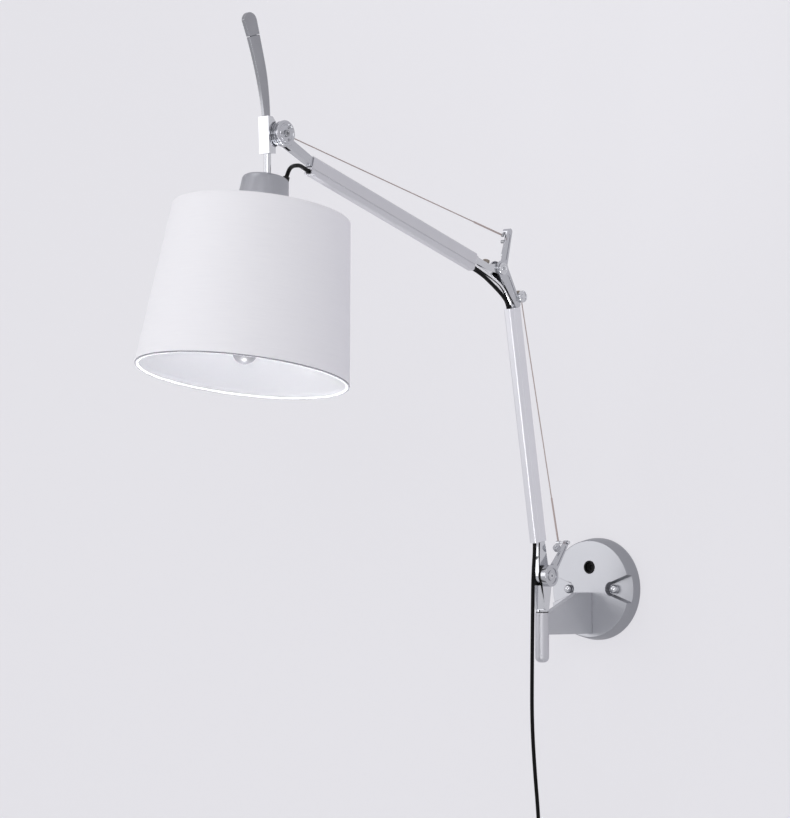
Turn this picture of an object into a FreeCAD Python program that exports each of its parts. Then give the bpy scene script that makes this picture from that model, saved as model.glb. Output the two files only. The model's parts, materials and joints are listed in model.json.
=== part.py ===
import FreeCAD, Part
import math
import os

# Articulating wall lamp: two spring-balanced arms on a wall plate and a fabric shade.
# Frame: origin at the centre of the wall plate's back face, +Y into the wall, -Y into the room,
# +Z up. Both arms lie in the plane X = 0 at rest. Sizes are millimetres, angles are degrees.

V = FreeCAD.Vector
X_AXIS = V(1, 0, 0)
Y_AXIS = V(0, 1, 0)
Z_AXIS = V(0, 0, 1)

# ---- driving dimensions -------------------------------------------------------------------
PLATE_DIA = 108.0
PLATE_FACE_DIA = 101.4
PLATE_THICK = 17.0
POCKET_FLOOR = 11.0         # floor of the screw pockets, from the wall
SCREW_SPACING = 60.0
SCREW_HOLE_R = 2.6
SCREW_SHANK_R = 2.0         # plain shank in the plate
SCREW_THREAD_R = 2.25       # thread in the wall
CAP_BORE_R = 3.4            # screw head, and the hollow of the cap over it
CAP_BORE_DEEP = 2.4
CABLE_HOLE_R = 7.0
CABLE_HOLE_UP = 23.0
BLOCK_THICK = 7.0
BLOCK_TOP = -3.7
BLOCK_BOTTOM = -47.2

SWIVEL_OUT = 100.0          # swivel axis from the wall
SOCKET_R = 7.2
SOCKET_TOP = -24.2
SOCKET_BOTTOM = -75.9
POST_R = 4.0
RUNNING = 0.05              # radial play of every turning fit
FACE_GAP = 0.1              # play between flat faces that slide on each other

SHOULDER_UP = 14.0          # shoulder pivot above the plate's centre
LOWER_LEAN = 10.3           # lower arm, outwards from vertical
UPPER_LEAN = 73.6           # upper arm, outwards from vertical
SHADE_LEAN = -9.8           # shade axis, its lower end swung outwards

TUBE_WIDE = 9.5
TUBE_DEEP = 19.0
TUBE_WALL = 1.1
TUBE_EDGE_R = 2.6
CORD_CHAMBER = 6.6          # depth of the cord's chamber at the front of the section
LOWER_TUBE_START = 35.8
LOWER_TUBE_END = 280.3
UPPER_TUBE_START = 42.8
UPPER_TUBE_END = 305.3
UPPER_TUBE_DROP = 8.4       # tube axis below the elbow pivot

ELBOW_AT = (-15.4, 322.5)   # elbow pivot in the lower arm's frame: rear, along
PULLEY_AT = (11.0, 290.6)   # elbow pulley in the lower arm's frame
PULLEY_R = 6.5
LEVER_TIP = (4.6, 359.0)
WRIST_AT = (2.1, 357.7)     # wrist pivot in the upper arm's frame
WRIST_PULLEY_R = 4.2
WIRE_R = 0.6
WIRE_SLEEVE_R = 0.95
WIRE_TRAVEL = 24.0          # length over which a wire's end runs over the wire itself

CORD_R = 2.0
CORD_INSIDE_R = 1.9
COIL_OUTER = 27.5           # radius of the outermost turn's centre line
COIL_STEP = 5.2             # between turns, sideways and radially
COIL_SPIRALS = 4            # half turns in each layer
COIL_LAYERS = 4

SHADE_TOP_R = 84.4
SHADE_BOTTOM_R = 101.2
SHADE_TOP_DOWN = 37.0       # shade's ends, down its axis from the cap's crown
SHADE_BOTTOM_DOWN = 194.0
SHADE_WALL = 1.2
CROWN = V(0, -530.0, 391.0)
ROD_OUT = -528.2
ROD_R = 3.4

SHOULDER = V(0, -SWIVEL_OUT, SHOULDER_UP)


# ---- shapes -------------------------------------------------------------------------------
def lean(origin, degrees):
    """Placement whose Z runs along an arm and whose Y is the arm's rear or upper side."""
    return FreeCAD.Placement(origin, FreeCAD.Rotation(X_AXIS, degrees))


LOWER = lean(SHOULDER, LOWER_LEAN)


def lower(rear, along, side=0.0):
    """Point of the lower arm's frame, in the lamp's frame."""
    return LOWER.multVec(V(side, rear, along))


ELBOW = lower(*ELBOW_AT)
UPPER = lean(ELBOW, UPPER_LEAN)


def upper(rear, along, side=0.0):
    """Point of the upper arm's frame, in the lamp's frame."""
    return UPPER.multVec(V(side, rear, along))


WRIST = upper(*WRIST_AT)
HEAD = lean(CROWN, SHADE_LEAN)


def head(x, y, up):
    """Point of the shade's frame, whose Z runs up the shade's axis, in the lamp's frame."""
    return HEAD.multVec(V(x, y, up))


def rod(a, b, r):
    return Part.makeCylinder(r, a.distanceToPoint(b), a, b - a)


def cross_rod(centre, x0, x1, r):
    """Cylinder along X through a point of the arms' plane."""
    return rod(V(x0, centre.y, centre.z), V(x1, centre.y, centre.z), r)


def plate(points, x0, x1):
    """Flat plate between two X planes, from its outline as (y, z) pairs."""
    corners = [V(x0, y, z) for y, z in points]
    face = Part.Face(Part.makePolygon(corners + corners[:1]))
    return face.extrude(V(x1 - x0, 0, 0))


def lug(a, ra, b, rb, x0, x1):
    """Flat bar with two round ends of different radii, joined by their outer tangents."""
    span = b - a
    base = math.atan2(span.z, span.y)
    spread = math.acos((ra - rb) / math.hypot(span.y, span.z))
    outline = []
    for centre, r, sign in ((a, ra, 1), (b, rb, 1), (b, rb, -1), (a, ra, -1)):
        turn = base + sign * spread
        outline.append((centre.y + r * math.cos(turn), centre.z + r * math.sin(turn)))
    ends = cross_rod(a, x0, x1, ra).fuse(cross_rod(b, x0, x1, rb))
    return plate(outline, x0, x1).fuse(ends).removeSplitter()


def between(a, b, share):
    return a + (b - a) * share


def ring_groove(centre, x_face, r_in, r_out, deep):
    """Ring to cut into a face that looks along +X."""
    outer = cross_rod(centre, x_face - deep, x_face + 1, r_out)
    return outer.cut(cross_rod(centre, x_face - deep, x_face + 1, r_in))


def revolve(points, axis_point, axis):
    """Solid of revolution from a closed outline."""
    face = Part.Face(Part.makePolygon(points + points[:1]))
    return face.revolve(axis_point, axis, 360)


def turned(profile, placement=None):
    """Solid turned about the Z axis of a frame, from (radius, height) pairs."""
    solid = revolve([V(r, 0, z) for r, z in profile], V(0, 0, 0), Z_AXIS)
    if placement is not None:
        solid.Placement = placement
    return solid


def soften(shape, radius, keep):
    """The shape with the edges that a test keeps rounded."""
    edges = [e for e in shape.Edges if keep(e)]
    return shape.makeFillet(radius, edges)


def group(shapes):
    return Part.makeCompound(shapes)


# ---- cords and wires ----------------------------------------------------------------------
def rounded_route(points, share=0.45):
    """Straight runs joined by tangent arcs, each as large as its two runs allow."""
    edges, start, radii = [], points[0], []
    for before, corner, after in zip(points, points[1:], points[2:]):
        back, on = (before - corner), (after - corner)
        reach = share * min(back.Length, on.Length)
        back.normalize()
        on.normalize()
        half_turn = (math.pi - back.getAngle(on)) / 2
        radius = reach / math.tan(half_turn)
        first, last = corner + back * reach, corner + on * reach
        inward = (back + on).normalize()
        middle = corner + inward * (radius / math.cos(half_turn) - radius)
        edges += [Part.LineSegment(start, first), Part.Arc(first, middle, last)]
        start = last
        radii.append(round(radius, 1))
    edges.append(Part.LineSegment(start, points[-1]))
    return Part.Wire([e.toShape() for e in edges]), radii


def swept(wire, profile):
    """Solid swept along a wire."""
    shape = wire.makePipeShell([profile], True, False)
    return Part.Solid(shape) if shape.ShapeType == "Shell" else shape


def tube_along(wire, r, name):
    """Solid round tube along a wire, with its volume compared with section times length."""
    start = wire.Edges[0]
    profile = Part.Wire(Part.makeCircle(r, start.valueAt(start.FirstParameter),
                                        start.tangentAt(start.FirstParameter)))
    solid = swept(wire, profile)
    ratio = solid.Volume / (math.pi * r * r * wire.Length)
    print(f"{name}: length {wire.Length:.1f}, volume over section times length {ratio:.4f}")
    return solid


def cord_along(points, name, r=CORD_R):
    wire, radii = rounded_route(points)
    print(f"{name}: arc radii {radii}")
    return tube_along(wire, r, name)


def biarc(p0, t0, p1, t1):
    """Two arcs with one tangent where they meet, from a point and tangent to another."""
    chord, both = p1 - p0, t0 + t1
    a, b, c = 2 * (1 - t0.dot(t1)), 2 * chord.dot(both), -chord.dot(chord)
    d = -c / b if abs(a) < 1e-9 else (-b + math.sqrt(b * b - 4 * a * c)) / (2 * a)
    joint = (p0 + t0 * d + p1 - t1 * d) * 0.5
    arcs = []
    for start, end, tangent in ((p0, joint, t0), (joint, p1, None)):
        if tangent is None:
            along = (p1 - joint) * (1 / (p1 - joint).Length)
            tangent = along * (2 * t1.dot(along)) - t1
        chord_here = end - start
        half = chord_here.getAngle(tangent) / 2
        side = tangent * chord_here.Length - chord_here * tangent.dot(chord_here) * (1 / chord_here.Length)
        side = side * (1 / side.Length)
        middle = (start + end) * 0.5 + side * (chord_here.Length / 2 * math.tan(half))
        arcs.append(Part.Arc(start, middle, end))
    return arcs


def coil_schedule():
    """Radius and depth of the coil's centre line after each half turn."""
    radius, depth, places = COIL_OUTER, 0.0, [(COIL_OUTER, 0.0)]
    for layer in range(COIL_LAYERS):
        inward = -1 if layer % 2 == 0 else 1
        last = layer == COIL_LAYERS - 1
        for _ in range(COIL_SPIRALS + last):
            radius += inward * COIL_STEP / 2
            places.append((radius, depth))
        if not last:
            depth += COIL_STEP
            places.append((radius, depth))
    return places


def coil_point(half_turns):
    """Centre line of the coil in its own plane: sideways, depth and up, after some half turns."""
    places = coil_schedule()
    i = min(int(half_turns), len(places) - 2)
    part = half_turns - i
    radius = places[i][0] + (places[i + 1][0] - places[i][0]) * part
    ease = part - math.sin(2 * math.pi * part) / (2 * math.pi)
    depth = places[i][1] + (places[i + 1][1] - places[i][1]) * ease
    angle = -math.pi * half_turns
    return V(radius * math.cos(angle), depth, radius * math.sin(angle))


def coil_tangent(half_turns):
    """Direction of the coil's centre line; it is straight down where the coil begins and ends."""
    last = len(coil_schedule()) - 1
    if half_turns <= 0 or half_turns >= last:
        return V(0, 0, -1)
    step = 1e-4
    d = coil_point(half_turns + step) - coil_point(half_turns - step)
    return d * (1 / d.Length)


def coil_wire(centre):
    """Unbroken run of biarcs along the coil, with a straight lead-in and a straight tail."""
    last = len(coil_schedule()) - 1
    stops = [k / 2 for k in range(2 * last + 1)]
    start, end = centre + coil_point(0), centre + coil_point(last)
    edges = [Part.LineSegment(start + Z_AXIS * 2 * CORD_R, start)]
    for u, w in zip(stops, stops[1:]):
        edges += biarc(centre + coil_point(u), coil_tangent(u), centre + coil_point(w), coil_tangent(w))
    edges.append(Part.LineSegment(end, end - Z_AXIS * PLUG_TAIL))
    return Part.Wire([e.toShape() for e in edges])


def least_gap(wire, diameter):
    """Smallest clear gap between the turns, measured on points a few degrees apart."""
    per_edge, arcs_per_half_turn = 8, 4
    points = [e.valueAt(e.FirstParameter + (e.LastParameter - e.FirstParameter) * k / per_edge)
              for e in wire.Edges for k in range(per_edge)]
    skip = per_edge * arcs_per_half_turn
    best = min(p.distanceToPoint(q) for i, p in enumerate(points) for q in points[i + skip:])
    return best - diameter


# ---- wall mount ---------------------------------------------------------------------------
def pocket(side):
    """V-shaped pocket with sloping walls that opens to the rim, round at its apex, for one wall screw."""
    apex_out, apex_r, mouth_out, mouth_half = 28.0, 5.8, 64.0, 18.8
    deep, draft = PLATE_THICK - POCKET_FLOOR + 1.0, 2.0
    wires = []
    for up, grow in ((0, 0), (deep, draft)):
        outline = [(apex_out, apex_r + grow), (mouth_out, mouth_half + grow),
                   (mouth_out, -mouth_half - grow), (apex_out, -apex_r - grow)]
        corners = [V(side * x, -POCKET_FLOOR - up, z) for x, z in outline]
        wires.append(Part.makePolygon(corners + corners[:1]))
    centre = V(side * apex_out, -POCKET_FLOOR, 0)
    apex = Part.makeCone(apex_r + 0.1, apex_r + draft + 0.1, deep, centre, -Y_AXIS)
    return Part.makeLoft(wires, True, True).fuse(apex)


def wall_plate():
    rim, face = PLATE_DIA / 2, PLATE_FACE_DIA / 2
    outline = [(0, 0), (rim, 0), (rim, -3.5), (face + 0.9, -PLATE_THICK + 1.1),
               (face, -PLATE_THICK), (0, -PLATE_THICK)]
    disc = revolve([V(r, y, 0) for r, y in outline], V(0, 0, 0), Y_AXIS)
    recess_r, recess_deep = 12.0, 6.0
    cable_at = V(0, 0, CABLE_HOLE_UP)
    disc = disc.cut(Part.makeCylinder(recess_r, recess_deep, cable_at, V(0, -1, 0)))
    disc = disc.cut(Part.makeCylinder(CABLE_HOLE_R, PLATE_THICK, cable_at, V(0, -1, 0)))
    for side in (-1, 1):
        disc = disc.cut(pocket(side))
        at = V(side * SCREW_SPACING / 2, 0, 0)
        disc = disc.cut(Part.makeCylinder(SCREW_HOLE_R, PLATE_THICK, at, V(0, -1, 0)))
    for at in bracket_screw_places():
        counterbore = V(0, 0, at.z)
        disc = disc.cut(Part.makeCylinder(2.0, PLATE_THICK, counterbore, V(0, -1, 0)))
        disc = disc.cut(Part.makeCylinder(3.6, -at.y, counterbore, V(0, -1, 0)))
    return disc


def bracket_screw_places():
    return [V(0, -6.0, z) for z in (-9.5, -18.0)]


def bracket_screws():
    screws = []
    for at in bracket_screw_places():
        screws.append(rod(at, at + V(0, -26.0, 0), 2.0).fuse(rod(at, at + V(0, 3.5, 0), 3.6)))
    return group(screws)


def bracket_block():
    outer = -SWIVEL_OUT + SOCKET_R - 1.5
    outline = [(-PLATE_THICK, BLOCK_TOP), (-41.9, BLOCK_TOP), (outer, -25.2),
               (outer, BLOCK_BOTTOM), (-PLATE_THICK, BLOCK_BOTTOM)]
    block = plate(outline, -BLOCK_THICK / 2, BLOCK_THICK / 2)
    block = soften(block, 0.6, lambda e: e.BoundBox.XLength < 1e-6 and e.BoundBox.YMax > outer + 0.1)
    socket = Part.makeCylinder(SOCKET_R, 60, V(0, -SWIVEL_OUT, SOCKET_BOTTOM), Z_AXIS)
    for at in bracket_screw_places():
        block = block.cut(rod(at, at + V(0, -26.0, 0), 2.0))
    return block.cut(socket)


def socket_sleeve():
    height, bore, bore_bottom, round_r = SOCKET_TOP - SOCKET_BOTTOM, 5.2, 8.0, 5.5
    profile = [(0, 0), (SOCKET_R - round_r, 0)]
    for k in range(1, 7):
        a = math.radians(15 * k)
        profile.append((SOCKET_R - round_r + round_r * math.sin(a), round_r - round_r * math.cos(a)))
    profile += [(SOCKET_R, height - 0.5), (SOCKET_R - 0.5, height), (bore, height), (bore, bore_bottom),
                (0, bore_bottom)]
    return turned(profile, FreeCAD.Placement(V(0, -SWIVEL_OUT, SOCKET_BOTTOM), FreeCAD.Rotation()))


def swivel_frame():
    return FreeCAD.Placement(V(0, -SWIVEL_OUT, 0), FreeCAD.Rotation())


def socket_bush():
    inner = POST_R + RUNNING
    bottom, flange = SOCKET_BOTTOM + 8.0, 0.8
    profile = [(inner, bottom), (5.2, bottom), (5.2, SOCKET_TOP), (6.6, SOCKET_TOP),
               (6.6, SOCKET_TOP + flange), (inner, SOCKET_TOP + flange)]
    return turned(profile, swivel_frame())


def cable_grommet():
    at, inward = V(0, -PLATE_THICK - 0.6, CABLE_HOLE_UP), V(0, 1, 0)
    body = Part.makeCylinder(CABLE_HOLE_R, 11.0, at, inward)
    body = body.cut(Part.makeCylinder(2.6, 6.0, at, inward))
    return body.cut(Part.makeCylinder(5.4, 4.0, at, inward))


def wall_screws():
    """Round-headed screws: a plain shank in the plate, a pointed thread in the wall."""
    screws = []
    for side in (-1, 1):
        seat = V(side * SCREW_SPACING / 2, -POCKET_FLOOR, 0)
        thread = seat + Y_AXIS * POCKET_FLOOR
        point = thread + Y_AXIS * 25.0
        parts = [rod(thread, point, SCREW_THREAD_R), rod(seat - Y_AXIS * CAP_BORE_DEEP, seat, CAP_BORE_R),
                 Part.makeCone(SCREW_THREAD_R, 0.4, 3.4, point, Y_AXIS)]
        screws.append(rod(seat, thread, SCREW_SHANK_R).fuse(parts))
    return group(screws)


def screw_caps():
    """Polished balls pushed over the heads of the wall screws, cut flat where they meet the plate."""
    ball_r, centre_up = 4.7, 2.3
    caps = []
    for side in (-1, 1):
        seat = V(side * SCREW_SPACING / 2, -POCKET_FLOOR, 0)
        ball = Part.makeSphere(ball_r, seat - Y_AXIS * centre_up)
        ball = ball.cut(rod(seat, seat + Y_AXIS * ball_r, ball_r + 1))
        caps.append(ball.cut(rod(seat - Y_AXIS * CAP_BORE_DEEP, seat, CAP_BORE_R)))
    return group(caps)


# ---- stem, which turns in the socket ------------------------------------------------------
CHEEK_IN, CHEEK_OUT = 4.1, 6.6
EYE_R = 9.4
TONGUE_EYE_R = 8.6
WASHER_R = 10.7
PIN_R = 3.0


def stem_fork():
    """Post, collar and two cheeks that hold the lower arm's pivot, with a web set back between them."""
    shelf, web_top = SOCKET_TOP + 0.9, 5.2
    collar = turned([(0, SOCKET_BOTTOM + 9), (POST_R, SOCKET_BOTTOM + 9), (POST_R, shelf),
                     (CHEEK_OUT, shelf), (CHEEK_OUT, shelf + 2), (0, shelf + 2)], swivel_frame())
    foot = V(0, -SWIVEL_OUT, shelf + 4.6)
    cheeks = [lug(SHOULDER, EYE_R, foot, 3.7, side * CHEEK_IN, side * CHEEK_OUT) for side in (-1, 1)]
    web = plate([(-102.6, shelf + 1), (-97.4, shelf + 1), (-95.6, web_top), (-104.4, web_top)],
                -CHEEK_IN - 0.5, CHEEK_IN + 0.5)
    web = web.cut(cross_rod(SHOULDER, -12, 12, WASHER_R + 0.3))
    fork = collar.fuse(cheeks + [web]).removeSplitter()
    return fork.cut(cross_rod(SHOULDER, -12, 12, PIN_R))


def shoulder_pin():
    pin = cross_rod(SHOULDER, -CHEEK_OUT - 2.6, 13.2, PIN_R)
    nut = cross_rod(SHOULDER, -CHEEK_OUT - 3.2, -CHEEK_OUT, 5.0)
    return pin.fuse(nut).cut(hex_hole(SHOULDER, 13.2, 2.5, 2.0))


def hex_hole(centre, x_face, across, deep):
    """Hexagon socket in a face that looks along +X."""
    corner = across / math.sqrt(3)
    outline = [(centre.y + corner * math.cos(math.radians(60 * k)),
                centre.z + corner * math.sin(math.radians(60 * k))) for k in range(6)]
    return plate(outline, x_face - deep, x_face + 1)


def shoulder_washers():
    """Friction washers between the cheeks and the arm's tongue."""
    washers = []
    for side in (-1, 1):
        x0, x1 = side * (3.1 + FACE_GAP), side * CHEEK_IN
        disc = cross_rod(SHOULDER, x0, x1, WASHER_R).cut(cross_rod(SHOULDER, x0, x1, PIN_R))
        washers.append(disc)
    return group(washers)


LEVER_IN, LEVER_OUT = 6.7, 13.2
BOSS_R = 11.3
ANCHOR = V(10.2, -71.5, 48.6)


def anchor_lever():
    """Round stepped boss on the stem's near side with the arm that holds the lower wire."""
    boss = cross_rod(SHOULDER, LEVER_IN, LEVER_OUT, BOSS_R)
    boss = soften(boss, 0.8, lambda e: e.BoundBox.XMin > LEVER_OUT - 0.1)
    boss = boss.cut(ring_groove(SHOULDER, LEVER_OUT, 5.6, 8.4, 0.9))
    arm = lug(SHOULDER, 5.2, ANCHOR, 2.3, 8.2, 12.2)
    arm = arm.cut(lug(between(SHOULDER, ANCHOR, 0.36), 2.0, between(SHOULDER, ANCHOR, 0.86), 1.0, 11.5, 12.5))
    tip = cross_rod(ANCHOR, 7.6, 12.4, 2.2)
    lever = boss.fuse([arm, tip]).removeSplitter()
    for hole in (cross_rod(SHOULDER, 6, 14, PIN_R), cross_rod(ANCHOR, 0, 14, 1.1), rod(*NUT_STUD)):
        lever = lever.cut(hole)
    return lever


def lever_pins():
    """Cross pin at the lever's tip with the eye that the wire ends in, and the knurled nut's stud."""
    pin = cross_rod(ANCHOR, -1.6, 14.0, 1.1)
    eye = cross_rod(ANCHOR, -2.4, 2.2, 2.0)
    head_disc = cross_rod(ANCHOR, 12.9, 14.0, 1.9)
    return group([pin.fuse([eye, head_disc]), rod(*NUT_STUD)])


NUT_AXIS = V(0, -0.78, 0.626)
NUT_AT = V(10.2, -80.7, 37.4)
NUT_STUD = (NUT_AT + NUT_AXIS * -3.4, NUT_AT + NUT_AXIS * 12.4, 1.2)


def knurled_nut(start, axis, r, height, teeth=24):
    """Round nut with a toothed edge, its bore on the axis."""
    across = axis.cross(X_AXIS).normalize()
    corners = []
    for k in range(2 * teeth):
        a = math.pi * k / teeth
        reach = r if k % 2 == 0 else r - 0.35
        corners.append(start + (across * math.cos(a) + X_AXIS * math.sin(a)) * reach)
    return Part.Face(Part.makePolygon(corners + corners[:1])).extrude(axis * height)


def lower_tension_nut():
    start = NUT_AT + NUT_AXIS * 6.6
    nut = knurled_nut(start, NUT_AXIS, 3.9, 4.6)
    return nut.cut(rod(start + NUT_AXIS * -1, start + NUT_AXIS * 8, 1.2 + RUNNING))


# ---- the arms' tube section ---------------------------------------------------------------
def section_wire(wide, deep, edge_r, shift):
    """Rounded rectangle in the X-Y plane, its centre shifted along Y."""
    x, y, r = wide / 2, deep / 2, edge_r
    k = r * (1 - math.sqrt(0.5))
    edges = []
    corners = [(1, 1), (-1, 1), (-1, -1), (1, -1)]
    ends = []
    for sx, sy in corners:
        on_x = V(sx * (x - r), sy * y + shift, 0)
        on_y = V(sx * x, sy * (y - r) + shift, 0)
        middle = V(sx * (x - k), sy * (y - k) + shift, 0)
        ends.append((on_y, middle, on_x) if sx * sy > 0 else (on_x, middle, on_y))
    for i, (start, middle, end) in enumerate(ends):
        edges.append(Part.Arc(start, middle, end).toShape())
        edges.append(Part.LineSegment(end, ends[(i + 1) % 4][0]).toShape())
    return Part.Wire(edges)


CHAMBER_WIDE = TUBE_WIDE - 2 * TUBE_WALL
CORD_AT = -TUBE_DEEP / 2 + CORD_CHAMBER / 2 + 0.2      # cord's chamber, from the tube's axis
SPRING_AT = 3.3                                        # spring's chamber, from the tube's axis
SPRING_CHAMBER = 10.2


def arm_tube(start, end, axis_at):
    """Extruded tube with a small chamber for the cord, a large one for the spring and a side groove."""
    solid = Part.Face(section_wire(TUBE_WIDE, TUBE_DEEP, TUBE_EDGE_R, axis_at))
    cord = Part.Face(section_wire(CHAMBER_WIDE - 1.6, CORD_CHAMBER - 1.6, 2.0, axis_at + CORD_AT))
    spring = Part.Face(section_wire(CHAMBER_WIDE, SPRING_CHAMBER, 1.2, axis_at + SPRING_AT))
    face = solid.cut(cord).cut(spring)
    tube = face.extrude(V(0, 0, end - start))
    groove_y = axis_at - TUBE_DEEP / 2 + CORD_CHAMBER - 0.2
    for side in (-1, 1):
        x = side * TUBE_WIDE / 2
        corners = [V(x, groove_y - 0.6, 0), V(x - side * 0.6, groove_y, 0), V(x, groove_y + 0.6, 0),
                   V(x + side, groove_y, 0)]
        tube = tube.cut(Part.Face(Part.makePolygon(corners + corners[:1])).extrude(V(0, 0, end - start)))
    tube.translate(V(0, 0, start))
    return tube


def in_frame(shape, frame):
    moved = shape.copy()
    moved.Placement = frame.multiply(moved.Placement)
    return moved


def local_plate(points, x0, x1, frame):
    """Plate drawn in an arm's own frame, from (rear, along) pairs."""
    return in_frame(plate(points, x0, x1), frame)


def spring_plug(y0, y1, z0, z1, half_x, frame):
    """Plug with round long edges, as the tube's chamber has."""
    block = plate([(y0, z0), (y1, z0), (y1, z1), (y0, z1)], -half_x, half_x)
    block = soften(block, 1.3, lambda e: e.BoundBox.ZLength > z1 - z0 - 0.1)
    return in_frame(block, frame)


# ---- lower arm ----------------------------------------------------------------------------
TONGUE = 3.1
PLUG_HALF = CHAMBER_WIDE / 2 - 0.15


def lower_tube():
    return in_frame(arm_tube(LOWER_TUBE_START, LOWER_TUBE_END, 0.0), LOWER)


def lower_tongue():
    """Plug in the foot of the lower tube with the eye that turns on the shoulder pin."""
    neck = lug(SHOULDER, TONGUE_EYE_R, lower(3.0, LOWER_TUBE_START - 2), 4.4, -TONGUE, TONGUE)
    plug = spring_plug(SPRING_AT - 4.6, SPRING_AT + 4.6, LOWER_TUBE_START - 4, LOWER_TUBE_START + 18,
                       TONGUE, LOWER)
    tongue = neck.fuse(plug).removeSplitter()
    return tongue.cut(cross_rod(SHOULDER, -12, 12, PIN_R + RUNNING)).cut(lower_stop_screw())


def lower_stop_screw():
    """Small screw in the front of the tongue, above the fork."""
    return rod(lower(-1.4, 13.0, -0.8), lower(-3.4, 21.5, -0.8), 2.4)


def spring_coil(frame, axis_y, start, end, r, wire_r, turns):
    """Tension spring with a straight wire at each end, as one tube along a helix of biarcs."""
    quarters, edges = 4 * turns, []

    def place(q):
        a = math.pi / 2 * q
        return V(r * math.cos(a), axis_y + r * math.sin(a), start + (end - start) * q / quarters)

    def heading(q):
        a = math.pi / 2 * q
        rise = (end - start) / quarters / (math.pi / 2)
        d = V(-r * math.sin(a), r * math.cos(a), rise)
        return d * (1 / d.Length)

    for q in range(0, quarters, 2):
        edges += biarc(place(q), heading(q), place(q + 2), heading(q + 2))
    wire = Part.Wire([e.toShape() for e in edges])
    solid = tube_along(wire, wire_r, "spring")
    return in_frame(solid, frame)


SPRING_R = 2.7
SPRING_WIRE_R = 0.55
SPRING_TURNS = 20
SPRING_LONG = 48.0


def balance_spring(frame, axis_y, near, start, wire_y, wire_end):
    """Spring in an arm's tube, its hook on the end plug and its wire up towards the pulley."""
    coil = spring_coil(frame, axis_y, start, start + SPRING_LONG, SPRING_R, SPRING_WIRE_R, SPRING_TURNS)

    def at(y, z):
        return frame.multVec(V(0, y, z))

    hook = rod(at(axis_y, near), at(axis_y, start - 1.0), 0.8)
    wire = rod(at(axis_y, start + SPRING_LONG + 1.0), at(wire_y, wire_end), WIRE_R)
    return group([coil, hook, wire])


def lower_spring():
    return balance_spring(LOWER, SPRING_AT, LOWER_TUBE_START + 18.2, 70.0,
                          PULLEY_AT[0] - PULLEY_R - 0.7, PULLEY_AT[1])


def upper_spring():
    axis_y = SPRING_AT - UPPER_TUBE_DROP
    return balance_spring(UPPER, axis_y, UPPER_TUBE_START + 18.2, 75.0, axis_y, UPPER_TUBE_END - 16.4)


CHANNEL_OUT, CHANNEL_IN = 5.6, 3.7
TONGUE_NARROW = 3.4         # half width of the upper tongue, between the channel's cheeks


def elbow_cheeks():
    """The channel's two cheeks, from the tube's end to the pivot and back to the pulley's axle."""
    p_y, p_z = PULLEY_AT
    foot, knee = lower(3.0, LOWER_TUBE_END + 4), lower(3.4, LOWER_TUBE_END + 8)
    cheeks = []
    for side in (-1, 1):
        x0, x1 = side * CHANNEL_IN, side * CHANNEL_OUT
        cheeks += [lug(ELBOW, 8.4, foot, 4.8, x0, x1), lug(lower(p_y - 1.0, p_z), 4.2, knee, 5.0, x0, x1)]
    return cheeks


def elbow_lever():
    """Lever on the near cheek: a bar that thickens above the pivot, with a barrel across its tip."""
    e_y, e_z = ELBOW_AT
    tip, root = lower(*LEVER_TIP), lower(e_y + 1.5, e_z)
    bar = lug(root, 5.2, tip, 2.9, CHANNEL_IN, CHANNEL_OUT)
    rib = lug(between(root, tip, 0.36), 3.6, tip, 2.6, 1.6, CHANNEL_OUT)
    return [bar, rib, cross_rod(tip, -2.4, CHANNEL_OUT, 2.9)]


def elbow_webs():
    """Web that joins the cheeks behind the pivot, and the plug in the tube with its sole."""
    e_y, e_z = ELBOW_AT
    web = local_plate([(1.5, LOWER_TUBE_END + 14), (e_y + 9.4, e_z + 2), (e_y + 8.4, e_z + 7),
                       (e_y + 10.0, e_z + 7), (e_y + 11.0, e_z + 2), (3.4, LOWER_TUBE_END + 14)],
                      -CHANNEL_IN, CHANNEL_IN, LOWER)
    y0, y1 = SPRING_AT - 4.9, SPRING_AT - 1.5
    plug = spring_plug(y0, y1, LOWER_TUBE_END - 16, LOWER_TUBE_END + 6, PLUG_HALF, LOWER)
    sole = spring_plug(y0, y1, LOWER_TUBE_END + 0.2, LOWER_TUBE_END + 8, CHANNEL_IN, LOWER)
    return web, plug, sole


def elbow_panels():
    """Shallow panels sunk in the near cheek, along the lever and along the leg."""
    x0, x1 = CHANNEL_OUT - 0.5, CHANNEL_OUT + 1
    tip, foot = lower(*LEVER_TIP), lower(3.0, LOWER_TUBE_END + 4)
    lever = lug(between(ELBOW, tip, 0.30), 2.9, between(ELBOW, tip, 0.88), 1.4, x0, x1)
    leg = lug(between(ELBOW, foot, 0.32), 4.4, between(ELBOW, foot, 0.86), 2.6, x0, x1)
    return lever.fuse(leg)


def elbow_bracket():
    """Casting on the lower tube: a channel round the elbow pivot with the upper wire's lever."""
    web, plug, sole = elbow_webs()
    cheeks = elbow_cheeks()
    casting = cheeks[0].fuse(cheeks[1:] + elbow_lever() + [web, plug, sole]).removeSplitter()
    below = local_plate([(-30, LOWER_TUBE_END - 30), (30, LOWER_TUBE_END - 30), (30, LOWER_TUBE_END + 0.2),
                         (-30, LOWER_TUBE_END + 0.2)], -10, 10, LOWER)
    casting = casting.cut(below.cut(plug)).cut(elbow_panels())
    axle = cross_rod(lower(*PULLEY_AT), -12, 12, 1.5)
    for hole in (cross_rod(ELBOW, -12, 12, PIN_R), axle, upper_wire_anchor()):
        casting = casting.cut(hole)
    return casting


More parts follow.
